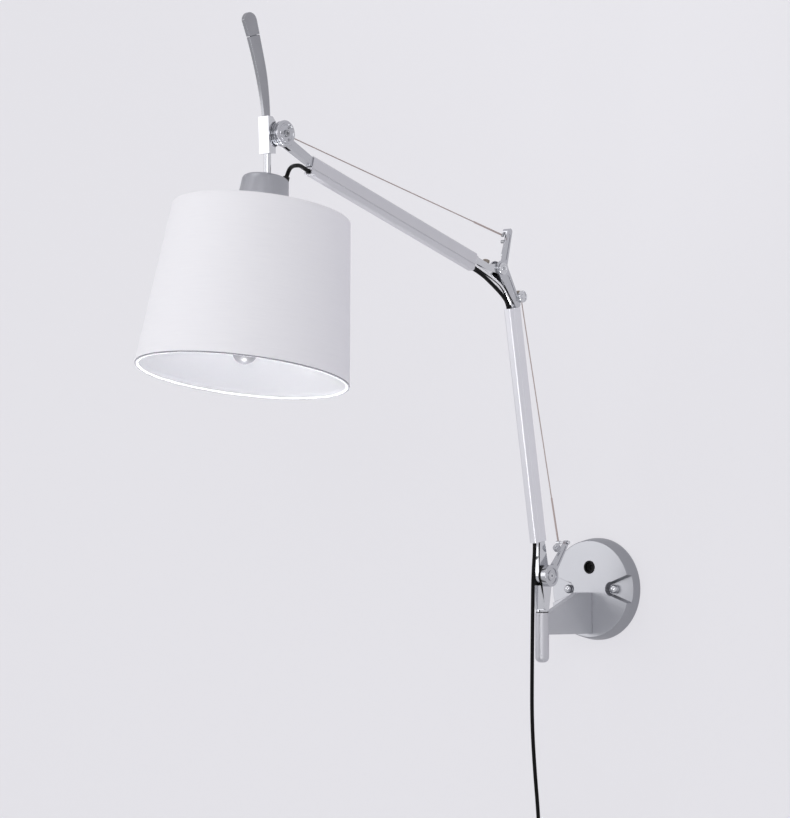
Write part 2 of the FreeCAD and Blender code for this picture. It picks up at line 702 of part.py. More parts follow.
def elbow_pins():
    """Pivot pin of the elbow with its two heads, and the pulley's axle with its round button."""
    head_x = CHANNEL_OUT + 1.4
    pin = cross_rod(ELBOW, -CHANNEL_OUT - 1.6, CHANNEL_OUT + 0.9, PIN_R)
    near_head = cross_rod(ELBOW, CHANNEL_OUT, head_x, 6.4)
    near_head = soften(near_head, 0.6, lambda e: e.BoundBox.XMin > head_x - 0.1)
    far_head = cross_rod(ELBOW, -CHANNEL_OUT - 2.0, -CHANNEL_OUT, 4.6)
    pivot = pin.fuse([near_head, far_head]).cut(hex_hole(ELBOW, head_x, 3.2, 1.2))
    return group([pivot.cut(ring_groove(ELBOW, head_x, 3.2, 4.6, 0.5)), elbow_pulley_axle()])


def grooved_wheel(centre, half, bore, r, groove):
    """Wheel across the arms' plane with a groove in its edge, running on an axle of radius bore."""
    outline = [(-half, bore + RUNNING), (-half, r), (-half * 0.6, r), (-0.5, r - groove),
               (0.5, r - groove), (half * 0.6, r), (half, r), (half, bore + RUNNING)]
    wheel = revolve([V(x, radius, 0) for x, radius in outline], V(0, 0, 0), X_AXIS)
    wheel.translate(centre)
    return wheel


def elbow_pulley():
    """Grooved wheel that the lower wire runs over, behind the tube's top."""
    axis = lower(*PULLEY_AT)
    return grooved_wheel(axis, 2.4, 1.5, PULLEY_R, 1.4)


def elbow_pulley_axle():
    """Axle of the pulley with the round button that shows on the near side."""
    axis = lower(*PULLEY_AT)
    face = CHANNEL_OUT + 2.6
    button = soften(cross_rod(axis, CHANNEL_OUT, face, 6.2), 0.8, lambda e: e.BoundBox.XMin > face - 0.1)
    button = button.cut(ring_groove(axis, face, 2.6, 4.6, 0.7))
    return button.fuse([cross_rod(axis, -CHANNEL_OUT - 1.2, CHANNEL_OUT, 1.5),
                        cross_rod(axis, -CHANNEL_OUT - 1.2, -CHANNEL_OUT, 3.0)])


UPPER_WIRE_ANCHOR = (0.2, 356.0)


def upper_wire_anchor():
    """Black eye on the lever that the upper wire ends in, and the adjusting screw below it."""
    y, z = UPPER_WIRE_ANCHOR
    ball = Part.makeSphere(1.9, lower(y - 2.6, z))
    stud = rod(lower(y - 2.6, z), lower(*LEVER_TIP), 1.2)
    adjuster = cross_rod(lower(-2.4, 349.4), -2.2, 2.2, 1.8)
    return group([ball.fuse(stud), adjuster])


def lower_inner_cord():
    return rod(lower(CORD_AT, LOWER_TUBE_START + 6), lower(CORD_AT, LOWER_TUBE_END - 6), CORD_INSIDE_R)


# ---- upper arm ----------------------------------------------------------------------------
def upper_tube():
    return in_frame(arm_tube(UPPER_TUBE_START, UPPER_TUBE_END, -UPPER_TUBE_DROP), UPPER)


def upper_tongue():
    """Plug in the upper tube's lower end with the cranked neck and the eye that turns on the elbow pin."""
    axis_y, x = SPRING_AT - UPPER_TUBE_DROP, TONGUE_NARROW
    knee, root = upper(-5.4, 18.0), upper(axis_y - 0.6, UPPER_TUBE_START - 1)
    neck = [lug(ELBOW, 6.0, knee, 3.3, -x, x), lug(knee, 3.3, root, 3.6, -x, x)]
    start = UPPER_TUBE_START
    plug = spring_plug(axis_y - 4.6, axis_y + 4.6, start - 4, start + 18, PLUG_HALF, UPPER)
    step = spring_plug(axis_y - 5.0, axis_y + 3.8, start - 4, start - 0.2, x, UPPER)
    tongue = neck[0].fuse([neck[1], plug, step]).removeSplitter()
    tongue = tongue.cut(cross_rod(ELBOW, -12, 12, PIN_R + RUNNING))
    return tongue.cut(friction_screw_shank(RUNNING))


FRICTION_NUT_AT = (-3.9, 21.5)


def friction_screw_shank(play=0.0):
    y, z = FRICTION_NUT_AT
    return rod(upper(y - 3.0 - play, z), upper(y + 5.6, z), 1.2 + play)


def elbow_friction_screw():
    """Knurled screw on top of the upper tongue that sets the elbow's stiffness."""
    y, z = FRICTION_NUT_AT
    axis = upper(y + 1, z) - upper(y, z)
    return knurled_nut(upper(y + 2.4, z), axis, 3.2, 3.2).fuse(friction_screw_shank())


def upper_inner_cord():
    y = CORD_AT - UPPER_TUBE_DROP
    return rod(upper(y, UPPER_TUBE_START + 6), upper(y, UPPER_TUBE_END - 6), CORD_INSIDE_R)


LINK_HALF = 3.4
EAR_IN, EAR_OUT = 3.6, 5.75


def wrist_link():
    """Polished bar from the upper tube's end to the wrist pivot, slotted round its pulley."""
    axis_y = SPRING_AT - UPPER_TUBE_DROP
    bar = lug(WRIST, 5.2, upper(axis_y + 0.6, UPPER_TUBE_END + 3), 4.2, -LINK_HALF, LINK_HALF)
    plug = spring_plug(axis_y - 4.7, axis_y + 4.7, UPPER_TUBE_END - 16, UPPER_TUBE_END + 2, PLUG_HALF, UPPER)
    slot_foot = (WRIST_AT[0] + axis_y) / 2
    slot_from, slot_to = WRIST_AT[1] - 22, WRIST_AT[1] + 9
    slot = local_plate([(slot_foot - 9, slot_from), (slot_foot + 12, slot_from), (20, slot_to),
                        (-12, slot_to)], -1.7, 1.7, UPPER)
    link = bar.fuse(plug).removeSplitter().cut(slot)
    return link.cut(cross_rod(WRIST, -12, 12, PIN_R - 1.0))


def wrist_pulley():
    return grooved_wheel(WRIST, 1.5, 2.0, WRIST_PULLEY_R, 1.0)


def wrist_pin():
    """Pin through the link and its pulley; the head joint's ears turn on it."""
    far_head = cross_rod(WRIST, -EAR_OUT - 3.0, -EAR_OUT - 0.2, 4.2)
    return cross_rod(WRIST, -EAR_OUT - 1.6, 12.4, 2.0).fuse(far_head)


# ---- head joint ---------------------------------------------------------------------------
BLOCK_FRONT_TOP = V(0, -534.2, 447.0)
BLOCK_FRONT_FOOT = V(0, -532.6, 411.8)
BLOCK_HALF = 6.3


def head_block():
    """Casting that clasps the handle and the rod and carries the two ears of the wrist."""
    top, foot = BLOCK_FRONT_TOP, BLOCK_FRONT_FOOT
    body = plate([(top.y, top.z), (top.y + 7.2, top.z), (WRIST.y - 7.5, WRIST.z + 11.0),
                  (WRIST.y - 7.5, WRIST.z - 10.6), (foot.y + 9.8, foot.z + 0.4), (foot.y, foot.z)],
                 -EAR_OUT, EAR_OUT)
    front = plate([(top.y, top.z), (top.y + 5.0, top.z), (foot.y + 4.0, foot.z), (foot.y, foot.z)],
                  -BLOCK_HALF, BLOCK_HALF)
    block = body.fuse([front, cross_rod(WRIST, -EAR_OUT, EAR_OUT, 11.4)]).removeSplitter()
    y0, y1, half = WRIST.y - 13.6, WRIST.y + 20, 18
    gap = [(y0, WRIST.z - half), (y1, WRIST.z - half), (y1, WRIST.z + half), (y0, WRIST.z + half)]
    block = block.cut(plate(gap, -EAR_IN, EAR_IN))
    return block.cut(cross_rod(WRIST, -12, 14, 2.0 + RUNNING)).cut(rod_bore())


def rod_bore():
    return rod(V(0, ROD_OUT, BLOCK_FRONT_FOOT.z - 8), V(0, ROD_OUT, BLOCK_FRONT_FOOT.z + 23), ROD_R + RUNNING)


def wrist_disc():
    """Stepped friction disc on the near side of the wrist."""
    a = revolve([V(6.0, 2.1, 0), V(6.0, 12.2, 0), V(8.2, 12.2, 0), V(8.2, 10.4, 0), V(9.4, 10.4, 0),
                 V(9.4, 12.6, 0), V(12.0, 12.6, 0), V(12.9, 11.7, 0), V(12.9, 10.2, 0), V(12.2, 9.6, 0),
                 V(12.2, 8.4, 0), V(12.9, 7.8, 0), V(12.9, 2.1, 0)], V(0, 0, 0), X_AXIS)
    a.translate(WRIST)
    return a


def wrist_disc_screws():
    """Clamping nut at the disc's centre and the two pins beside it."""
    nut = cross_rod(WRIST, 12.9, 14.1, 3.4).cut(hex_hole(WRIST, 14.1, 2.5, 1.0))
    nut = nut.cut(cross_rod(WRIST, 12, 13, 2.1))
    pins = [cross_rod(WRIST + V(0, 6.4 * math.cos(a), 6.4 * math.sin(a)), 12.9, 13.4, 1.1)
            for a in (math.radians(60), math.radians(180), math.radians(300))]
    return group([nut] + pins)


HANDLE_HALF_THICK = 1.9
HANDLE_FRONT = ((-534.0, 444.0), (-535.4, 453.6), (-538.4, 467.6), (-543.1, 484.6), (-550.0, 504.6),
                (-556.4, 520.6), (-562.9, 534.6))
HANDLE_REAR = ((-545.2, 536.4), (-541.0, 522.6), (-536.4, 507.2), (-531.5, 489.4), (-528.5, 472.6),
               (-527.2, 461.6), (-526.2, 444.0))
HANDLE_CROWN = (-556.4, 542.6)
JOINT_AT = V(0, -549.0, 521.6)      # fine joint line across the handle
JOINT_AXIS = V(0, -0.28, 0.96)


def handle_blade():
    """The whole curved blade: its front and rear edges are splines, its end is an arc."""
    def edge(points):
        curve = Part.BSplineCurve()
        curve.interpolate([V(-HANDLE_HALF_THICK, y, z) for y, z in points])
        return curve.toShape()

    corners = (HANDLE_FRONT[0], HANDLE_FRONT[-1], HANDLE_REAR[0], HANDLE_REAR[-1])
    ends = [V(-HANDLE_HALF_THICK, y, z) for y, z in corners]
    crown = Part.Arc(ends[1], V(-HANDLE_HALF_THICK, *HANDLE_CROWN), ends[2]).toShape()
    foot = Part.LineSegment(ends[3], ends[0]).toShape()
    outline = Part.Wire([edge(HANDLE_FRONT), crown, edge(HANDLE_REAR), foot])
    return Part.Face(outline).extrude(X_AXIS * 2 * HANDLE_HALF_THICK)


def beyond_joint(gap):
    """Everything above the handle's joint line, from a small distance beyond it."""
    return rod(JOINT_AT + JOINT_AXIS * gap, JOINT_AT + JOINT_AXIS * 60, 40)


def handle():
    """Flat curved lever that turns the head, flaring upwards from the head block."""
    below = rod(V(0, -530, 400), V(0, -530, BLOCK_FRONT_TOP.z), 20)
    return handle_blade().cut(beyond_joint(-0.25)).cut(below)


def handle_grip():
    """Rounded end of the handle, beyond a fine joint line, with the tenon that holds it."""
    tenon = Part.makeBox(2 * HANDLE_HALF_THICK - 1.2, 8.0, 1.0, V(0.6 - HANDLE_HALF_THICK, -4.0, -0.25))
    tenon.Placement = FreeCAD.Placement(JOINT_AT, FreeCAD.Rotation(Z_AXIS, JOINT_AXIS))
    return handle_blade().common(beyond_joint(0.25)).fuse(tenon).removeSplitter()


# ---- head, which turns on its rod ---------------------------------------------------------
ROD_FOOT = CROWN.z - 11.0


def head_rod():
    """Rod that turns in the head block; its foot is screwed into the lamp holder."""
    return rod(V(0, ROD_OUT, ROD_FOOT), V(0, ROD_OUT, BLOCK_FRONT_FOOT.z + 22), ROD_R)


def cap():
    """Turned cover over the lamp holder: a shallow crown, a round shoulder and a tapered skirt."""
    outer = [(0, 0.6), (8, 0.3), (15, -0.6), (19.4, -1.8), (21.2, -3.0), (22.2, -5.0), (25.4, -34.0)]
    inner = [(23.8, -34.0), (20.6, -5.8), (19.2, -4.0), (14.2, -2.6), (0, -1.6)]
    shell = turned(outer + inner, HEAD)
    shell = shell.cut(rod(V(0, ROD_OUT, 340), V(0, ROD_OUT, 420), ROD_R))
    return shell.cut(rod(CAP_EXIT - CAP_EXIT_DIR * 6, CAP_EXIT + CAP_EXIT_DIR * 6, 3.2))


CAP_EXIT = head(14.4, 12.2, -2.2)
CAP_EXIT_DIR = (head(0.12, 0.05, 1.0) - head(0, 0, 0)).normalize()


def cap_gland():
    """Black strain relief where the cord leaves the cap."""
    a, b = CAP_EXIT - CAP_EXIT_DIR * 3.6, CAP_EXIT + CAP_EXIT_DIR * 3.2
    return rod(a, b, 3.2).cut(rod(a, b, CORD_R + RUNNING))


def lamp_holder():
    """Screw-cap lamp holder inside the cap."""
    profile = [(0, -6.8), (13, -6.8), (19.2, -14), (19.2, -40.0), (16.6, -40.0), (16.6, -62.0), (13.6, -62.0),
               (13.6, -24.0), (0, -24.0)]
    return turned(profile, HEAD).cut(rod(V(0, ROD_OUT, ROD_FOOT), V(0, ROD_OUT, CROWN.z), ROD_R))


def holder_ring():
    """Threaded ring that clamps the shade's spider to the lamp holder."""
    return turned([(16.6, -47.0), (23.0, -47.0), (23.0, -41.8), (16.6, -41.8)], HEAD)


def bulb_base():
    return turned([(0, -25.0), (6, -25.0), (13.1, -29.0), (13.1, -52.0), (0, -52.0)], HEAD)


def bulb_glass():
    """Slim opal bulb with a round tip, its lowest point a little above the shade's lower edge."""
    centre, tip_r, glass, steps = -170.2, 12.0, 1.1, 8
    side = [(13.0, -52.2), (13.4, -62.0), (16.4, -78.0), (18.8, -96.0), (19.4, -112.0), (18.6, -130.0),
            (16.4, -148.0), (13.9, -162.0)]
    outer, inner = list(side), [(r - glass, z) for r, z in side]
    for r, outline in ((tip_r, outer), (tip_r - glass, inner)):
        for k in range(1, steps + 1):
            a = math.radians(15 - 105 * k / steps)
            outline.append((r * math.cos(a) if k < steps else 0, centre + r * math.sin(a)))
    return turned(outer + inner[::-1], HEAD)


RING_R = SHADE_TOP_R - 2.6      # upper ring's centre line
RING_WIRE_R = 1.3


def shade_ring(r, wire_r, down):
    ring = Part.makeTorus(r, wire_r, V(0, 0, -down), Z_AXIS)
    ring.Placement = HEAD.multiply(ring.Placement)
    return ring


def shade_rings():
    """Wire rings inside the shade's upper and lower hems."""
    return group([shade_ring(RING_R, RING_WIRE_R, SHADE_TOP_DOWN + 2.6),
                  shade_ring(SHADE_BOTTOM_R - SHADE_WALL - 1.4, 1.2, SHADE_BOTTOM_DOWN - 1.4)])


def shade_spokes():
    """Hub under the lamp holder's collar and three spokes welded to the upper ring."""
    hub = turned([(16.9, -41.6), (24.5, -41.6), (24.5, -40.2), (16.9, -40.2)], HEAD)
    reach, spoke_r, up = RING_R - 0.4, 1.1, -SHADE_TOP_DOWN - 2.6
    spokes = []
    for k in range(3):
        a = math.radians(90 + 120 * k)
        spokes.append(rod(head(23 * math.cos(a), 23 * math.sin(a), -40.9),
                          head(reach * math.cos(a), reach * math.sin(a), up), spoke_r))
    return hub.fuse(spokes).cut(shade_ring(RING_R, RING_WIRE_R, SHADE_TOP_DOWN + 2.6))


def shade():
    """Laminated fabric cone, open at both ends."""
    top, bottom = -SHADE_TOP_DOWN, -SHADE_BOTTOM_DOWN
    profile = [(SHADE_TOP_R - SHADE_WALL, top), (SHADE_TOP_R, top), (SHADE_BOTTOM_R, bottom),
               (SHADE_BOTTOM_R - SHADE_WALL, bottom)]
    return turned(profile, HEAD)


# ---- wires --------------------------------------------------------------------------------
def lower_wire_ends():
    """Where the lower wire leaves its pulley, and the eye at the stem's lever."""
    eye = V(0, ANCHOR.y, ANCHOR.z)
    axis = lower(*PULLEY_AT)
    span = eye - axis
    length = math.hypot(span.y, span.z)
    r = PULLEY_R - 0.7
    tilt = math.atan2(span.z, span.y) + math.acos(r / length)
    start = axis + V(0, r * math.cos(tilt), r * math.sin(tilt))
    return start, eye


def upper_wire_ends():
    """Where the upper wire leaves the wrist pulley, and the eye at the elbow's lever."""
    y, z = UPPER_WIRE_ANCHOR
    eye = lower(y - 2.6, z)
    span = eye - WRIST
    length = math.hypot(span.y, span.z)
    r = WRIST_PULLEY_R - 0.3
    tilt = math.atan2(span.z, span.y) + math.acos(r / length)
    start = WRIST + V(0, r * math.cos(tilt), r * math.sin(tilt))
    return start, eye


def wire_pair(start, eye, name):
    """The wire up to its travel, and the sleeve that runs over its end."""
    along = (eye - start).normalize()
    mouth = eye - along * (2 * WIRE_TRAVEL)
    wire = rod(start, eye - along * WIRE_TRAVEL, WIRE_R)
    sleeve = rod(mouth, eye - along * 2.15, WIRE_SLEEVE_R)
    sleeve = sleeve.cut(rod(mouth, eye - along * 7.0, WIRE_R + RUNNING))
    print(f"{name}: pulley end {start}, eye {eye}, along {along}")
    return wire, sleeve


# ---- cords --------------------------------------------------------------------------------
CORD_EXIT = lower(CORD_AT, LOWER_TUBE_START)
LEAD_END = V(0, -116.2, -24.0)
SUPPLY_ROUTE = [LEAD_END, V(0, -117.3, -76.0), V(0, -118.0, -134.0), V(0, -113.6, -184.0),
                V(0, -107.2, -232.0), V(0, -106.0, -262.0)]
COIL_START = V(0, -106.0, -292.0)
COIL_CENTRE = COIL_START - V(COIL_OUTER, 0, 0)
PLUG_TAIL = 26.0


def supply_lead():
    """The cord's first stretch, which bends with the shoulder."""
    route = [lower(CORD_AT, LOWER_TUBE_START + 5.8), lower(CORD_AT, LOWER_TUBE_START - 3),
             V(0, -115.4, LEAD_END.z + 38), LEAD_END]
    return cord_along(route, "supply_lead")


def supply_cord():
    return cord_along(SUPPLY_ROUTE + [COIL_START + Z_AXIS * 2 * CORD_R], "supply_cord")


def supply_coil():
    wire = coil_wire(COIL_CENTRE)
    gap, least_r = least_gap(wire, 2 * CORD_R), COIL_OUTER - COIL_STEP * 2
    print(f"supply_coil: least gap {gap:.2f}, least radius {least_r:.1f}")
    return tube_along(wire, CORD_R, "supply_coil")


def coil_end():
    last = len(coil_schedule()) - 1
    return COIL_CENTRE + coil_point(last)


def coil_tie():
    """Flat band round the whole bundle of turns at the coil's top."""
    deep = COIL_STEP * (COIL_LAYERS - 1)
    inner_r, outer_r = COIL_OUTER - 2 * COIL_STEP - CORD_R - 0.6, COIL_OUTER + COIL_STEP / 2 + CORD_R + 0.4
    half, y0, y1, wall = 3.5, -CORD_R - 0.7, deep + CORD_R + 0.7, 0.9
    c = COIL_CENTRE
    outer = Part.makeBox(2 * half, y1 - y0 + 2 * wall, outer_r - inner_r + 2 * wall,
                         V(c.x - half, c.y + y0 - wall, c.z + inner_r - wall))
    hole = Part.makeBox(2 * half, y1 - y0, outer_r - inner_r, V(c.x - half, c.y + y0, c.z + inner_r))
    return outer.cut(hole)


def mains_plug():
    """Flat two-pin plug body with a tapered neck."""
    top = coil_end() - V(0, 0, PLUG_TAIL)
    neck = Part.makeCone(CORD_R + 1.2, 5.0, 14.0, top, V(0, 0, -1))
    body = Part.makeBox(26.0, 13.6, 22.0, V(top.x - 13.0, top.y - 6.8, top.z - 35.6))
    body = soften(body, 3.0, lambda e: e.BoundBox.YLength > 13)
    return neck.fuse(body).removeSplitter()


def plug_pins():
    top = coil_end() - V(0, 0, PLUG_TAIL + 35.6)
    return group([rod(top + V(x, 0, 0), top + V(x, 0, -19.0), 2.0) for x in (-9.5, 9.5)])


def elbow_cord():
    """Cord from the upper tube's lower chamber down into the lower tube's."""
    y = CORD_AT - UPPER_TUBE_DROP
    route = [upper(y, UPPER_TUBE_START + 5.8), upper(y, UPPER_TUBE_START - 16), V(0, -182.6, 311.8),
             V(0, -165.4, 301.6), lower(CORD_AT, LOWER_TUBE_END + 5.0), lower(CORD_AT, LOWER_TUBE_END - 5.8)]
    return cord_along(route, "elbow_cord")


def elbow_strap():
    """Polished strip that guides the cord round the inside of the elbow."""
    y = CORD_AT - UPPER_TUBE_DROP
    start = upper(y + 3.2, UPPER_TUBE_START - 0.3)
    corner_a, corner_b = V(0, -184.0, 318.2), V(0, -160.6, 304.6)
    end = lower(CORD_AT + 3.8, LOWER_TUBE_END + 0.3)
    wire, _ = rounded_route([start, corner_a, corner_b, end])
    first = wire.Edges[0]
    t = first.tangentAt(first.FirstParameter)
    n = V(0, -t.z, t.y)
    half, thick = 3.3, 0.45
    corners = [start + X_AXIS * half + n * thick, start - X_AXIS * half + n * thick,
               start - X_AXIS * half - n * thick, start + X_AXIS * half - n * thick]
    profile = Part.makePolygon(corners + corners[:1])
    return swept(wire, profile)


LOOP_MIDDLE = V(8.6, -499.5, 402.6)
LOOP_HEADING = V(0.25, -0.95, -0.19)


def loop_from_tube():
    y = CORD_AT - UPPER_TUBE_DROP
    route = [upper(y, UPPER_TUBE_END - 5.8), upper(y, UPPER_TUBE_END + 9, 1.4),
             LOOP_MIDDLE - LOOP_HEADING * 10, LOOP_MIDDLE]
    return cord_along(route, "loop_from_tube")


def loop_to_cap():
    route = [LOOP_MIDDLE, LOOP_MIDDLE + LOOP_HEADING * 6, CAP_EXIT + CAP_EXIT_DIR * 8,
             CAP_EXIT - CAP_EXIT_DIR * 3.4]
    return cord_along(route, "loop_to_cap")


# ---- every piece --------------------------------------------------------------------------
def all_parts():
    lower_wire, lower_wire_end = wire_pair(*lower_wire_ends(), "lower_wire")
    upper_wire, upper_wire_end = wire_pair(*upper_wire_ends(), "upper_wire")
    makers = [wall_plate, bracket_block, bracket_screws, socket_sleeve, socket_bush, cable_grommet,
              wall_screws, screw_caps, stem_fork, shoulder_pin, shoulder_washers, anchor_lever,
              lever_pins, lower_tension_nut, lower_tube, lower_tongue, lower_stop_screw, lower_spring,
              elbow_bracket, elbow_pins, elbow_pulley, upper_wire_anchor, lower_inner_cord, upper_tube,
              upper_tongue, elbow_friction_screw, upper_spring, upper_inner_cord, wrist_link,
              wrist_pulley, wrist_pin, wrist_disc, wrist_disc_screws, head_block, handle, handle_grip,
              head_rod, cap, cap_gland, lamp_holder, holder_ring, bulb_base, bulb_glass, shade_spokes,
              shade_rings, shade, supply_lead, supply_cord, supply_coil, coil_tie, mains_plug, plug_pins,
              elbow_cord, elbow_strap, loop_from_tube, loop_to_cap]
    parts = {maker.__name__: maker() for maker in makers}
    parts.update(lower_wire=lower_wire, lower_wire_end=lower_wire_end,
                 upper_wire=upper_wire, upper_wire_end=upper_wire_end)
    return parts


os.makedirs("parts", exist_ok=True)
PARTS = all_parts()
print(len(PARTS), "nodes; elbow", ELBOW, "wrist", WRIST, "cord exit", CORD_EXIT)
for node, shape in PARTS.items():
    shape.exportStep(f"parts/{node}.step")
    if not shape.isValid() or shape.Volume <= 0:
        print("check", node, shape.ShapeType, shape.isValid(), shape.Volume)
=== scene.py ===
"""Dresses the articulating wall lamp: metal finishes, shade, bulb, wires and cords, lights and camera.

Frame: origin at the centre of the wall plate's back, +Y into the wall, +Z up, metres.
"""

import json
import logging
import math
from dataclasses import dataclass
from enum import Enum
from typing import Iterable, Sequence

import bmesh
import bpy
from mathutils import Matrix, Vector
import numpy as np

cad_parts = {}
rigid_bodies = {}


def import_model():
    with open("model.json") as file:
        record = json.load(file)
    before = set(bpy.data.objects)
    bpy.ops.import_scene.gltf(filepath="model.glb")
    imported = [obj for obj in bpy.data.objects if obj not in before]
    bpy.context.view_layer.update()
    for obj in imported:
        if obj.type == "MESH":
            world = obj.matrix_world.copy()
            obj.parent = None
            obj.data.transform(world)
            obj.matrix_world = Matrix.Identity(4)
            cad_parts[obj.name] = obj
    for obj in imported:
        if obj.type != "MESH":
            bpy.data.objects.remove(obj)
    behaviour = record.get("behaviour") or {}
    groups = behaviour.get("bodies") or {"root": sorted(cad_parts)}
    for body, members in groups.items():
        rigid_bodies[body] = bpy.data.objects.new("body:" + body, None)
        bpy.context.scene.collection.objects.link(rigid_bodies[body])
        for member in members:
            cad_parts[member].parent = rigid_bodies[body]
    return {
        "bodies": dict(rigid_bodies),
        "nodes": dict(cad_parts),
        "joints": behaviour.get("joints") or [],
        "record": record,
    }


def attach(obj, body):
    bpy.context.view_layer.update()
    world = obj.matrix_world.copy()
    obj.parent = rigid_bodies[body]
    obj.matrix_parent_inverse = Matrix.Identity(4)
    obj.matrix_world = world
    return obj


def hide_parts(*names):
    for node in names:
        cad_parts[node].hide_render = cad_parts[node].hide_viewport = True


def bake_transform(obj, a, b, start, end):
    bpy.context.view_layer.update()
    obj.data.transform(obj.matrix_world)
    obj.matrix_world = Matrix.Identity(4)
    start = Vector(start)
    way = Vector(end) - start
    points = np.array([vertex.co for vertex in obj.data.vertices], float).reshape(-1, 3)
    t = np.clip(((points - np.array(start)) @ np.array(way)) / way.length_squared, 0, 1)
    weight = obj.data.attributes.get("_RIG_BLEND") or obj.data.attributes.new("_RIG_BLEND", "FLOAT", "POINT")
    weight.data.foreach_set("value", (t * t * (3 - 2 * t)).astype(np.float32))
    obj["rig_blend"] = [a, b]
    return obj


LOG = logging.getLogger("wall_lamp")
MM = 0.001
PHOTO_WIDE = 790

Colour = tuple[float, float, float, float]
Point = tuple[float, float, float]
Pair = tuple[float, float]


class Body(str, Enum):
    """The rigid bodies that pieces ride on."""

    WALL = "wall_mount"
    STEM = "stem"
    TENSION_NUT = "tension_nut"
    LOWER = "lower_arm"
    ELBOW_WHEEL = "elbow_wheel"
    LOWER_CABLE = "lower_cable"
    LOWER_SLEEVE = "lower_cable_sleeve"
    UPPER = "upper_arm"
    FRICTION_SCREW = "friction_screw"
    WRIST_WHEEL = "wrist_wheel"
    UPPER_SLEEVE = "upper_cable_sleeve"
    JOINT = "head_joint"
    HEAD = "head"


class Slot(str, Enum):
    """The record's material slots."""

    PLATE = "plate_steel"
    SATIN = "satin_alloy"
    ARM = "arm_alloy"
    CHROME = "polished_chrome"
    CAP = "cap_chrome"
    SCREW = "screw_steel"
    BRASS = "pulley_brass"
    PLASTIC = "black_plastic"
    CORD = "cord_black"
    WIRE = "wire_steel"
    FABRIC = "shade_fabric"
    FRAME = "shade_frame"
    BULB = "bulb_glass"


# ---- colours and nodes ---------------------------------------------------------------------
def linear(hex_value: int) -> Colour:
    """Turns an sRGB hex value into linear red, green, blue and alpha.

    Args:
        hex_value: Colour as 0xRRGGBB.

    Returns:
        The colour in linear light, opaque.
    """
    channels = []
    for shift in (16, 8, 0):
        c = (hex_value >> shift & 255) / 255
        channels.append(c / 12.92 if c <= 0.04045 else ((c + 0.055) / 1.055) ** 2.4)
    return channels[0], channels[1], channels[2], 1.0


@dataclass
class Nodes:
    """An empty node tree and the family that most of its nodes come from."""

    tree: bpy.types.NodeTree
    family: str = "ShaderNode"

    def node(self, kind: str, values: dict | None = None, family: str | None = None,
             **settings: object) -> bpy.types.Node:
        """Adds a node, sets it and links it.

        Args:
            kind: Node type, without its family.
            values: Socket name or index, to a plain value or to the output socket that feeds it.
            family: Its family, where that isn't the tree's own.
            **settings: Properties of the node itself.

        Returns:
            The new node.
        """
        node = self.tree.nodes.new((self.family if family is None else family) + kind)
        for name, value in settings.items():
            setattr(node, name, value)
        for socket, value in (values or {}).items():
            if isinstance(value, bpy.types.NodeSocket):
                self.tree.links.new(value, node.inputs[socket])
            else:
                node.inputs[socket].default_value = value
        return node

    def out(self, kind: str, values: dict | None = None, out: int | str = 0,
            **settings: object) -> bpy.types.NodeSocket:
        """Adds a node and returns one of its outputs."""
        return self.node(kind, values, **settings).outputs[out]

    def maths(self, operation: str, a: object, b: object = 0.0) -> bpy.types.NodeSocket:
        """Adds a Math node and returns its value."""
        return self.out("Math", {0: a, 1: b}, family="ShaderNode", operation=operation)

    def tinted(self, factor: bpy.types.NodeSocket, a: Colour, b: Colour) -> bpy.types.NodeSocket:
        """Mixes two colours by a factor."""
        return self.out("Mix", {0: factor, MIX_A: a, MIX_B: b}, MIX_RESULT, data_type="RGBA")


def bare_nodes(owner: bpy.types.Material | bpy.types.World) -> Nodes:
    """Gives a material or a world an empty node tree.

    Args:
        owner: The material or the world.

    Returns:
        Its nodes, to be added to.
    """
    owner.use_nodes = True
    owner.node_tree.nodes.clear()
    return Nodes(owner.node_tree)


def per_metre(size_mm: float) -> float:
    """Texture scale that gives features of a real size in millimetres."""
    return 1.0 / (size_mm * MM)


MIX_A, MIX_B, MIX_RESULT = 6, 7, 2     # a colour Mix node's colour sockets
DRAWN_OUT = 30                         # length over width of a drawn grain
HANDLING_MM = 35                       # size of the cloudy marks that handling leaves
WAVE_OF_ONE = 2 / math.tau             # Wave texture's scale that puts its bands one unit apart


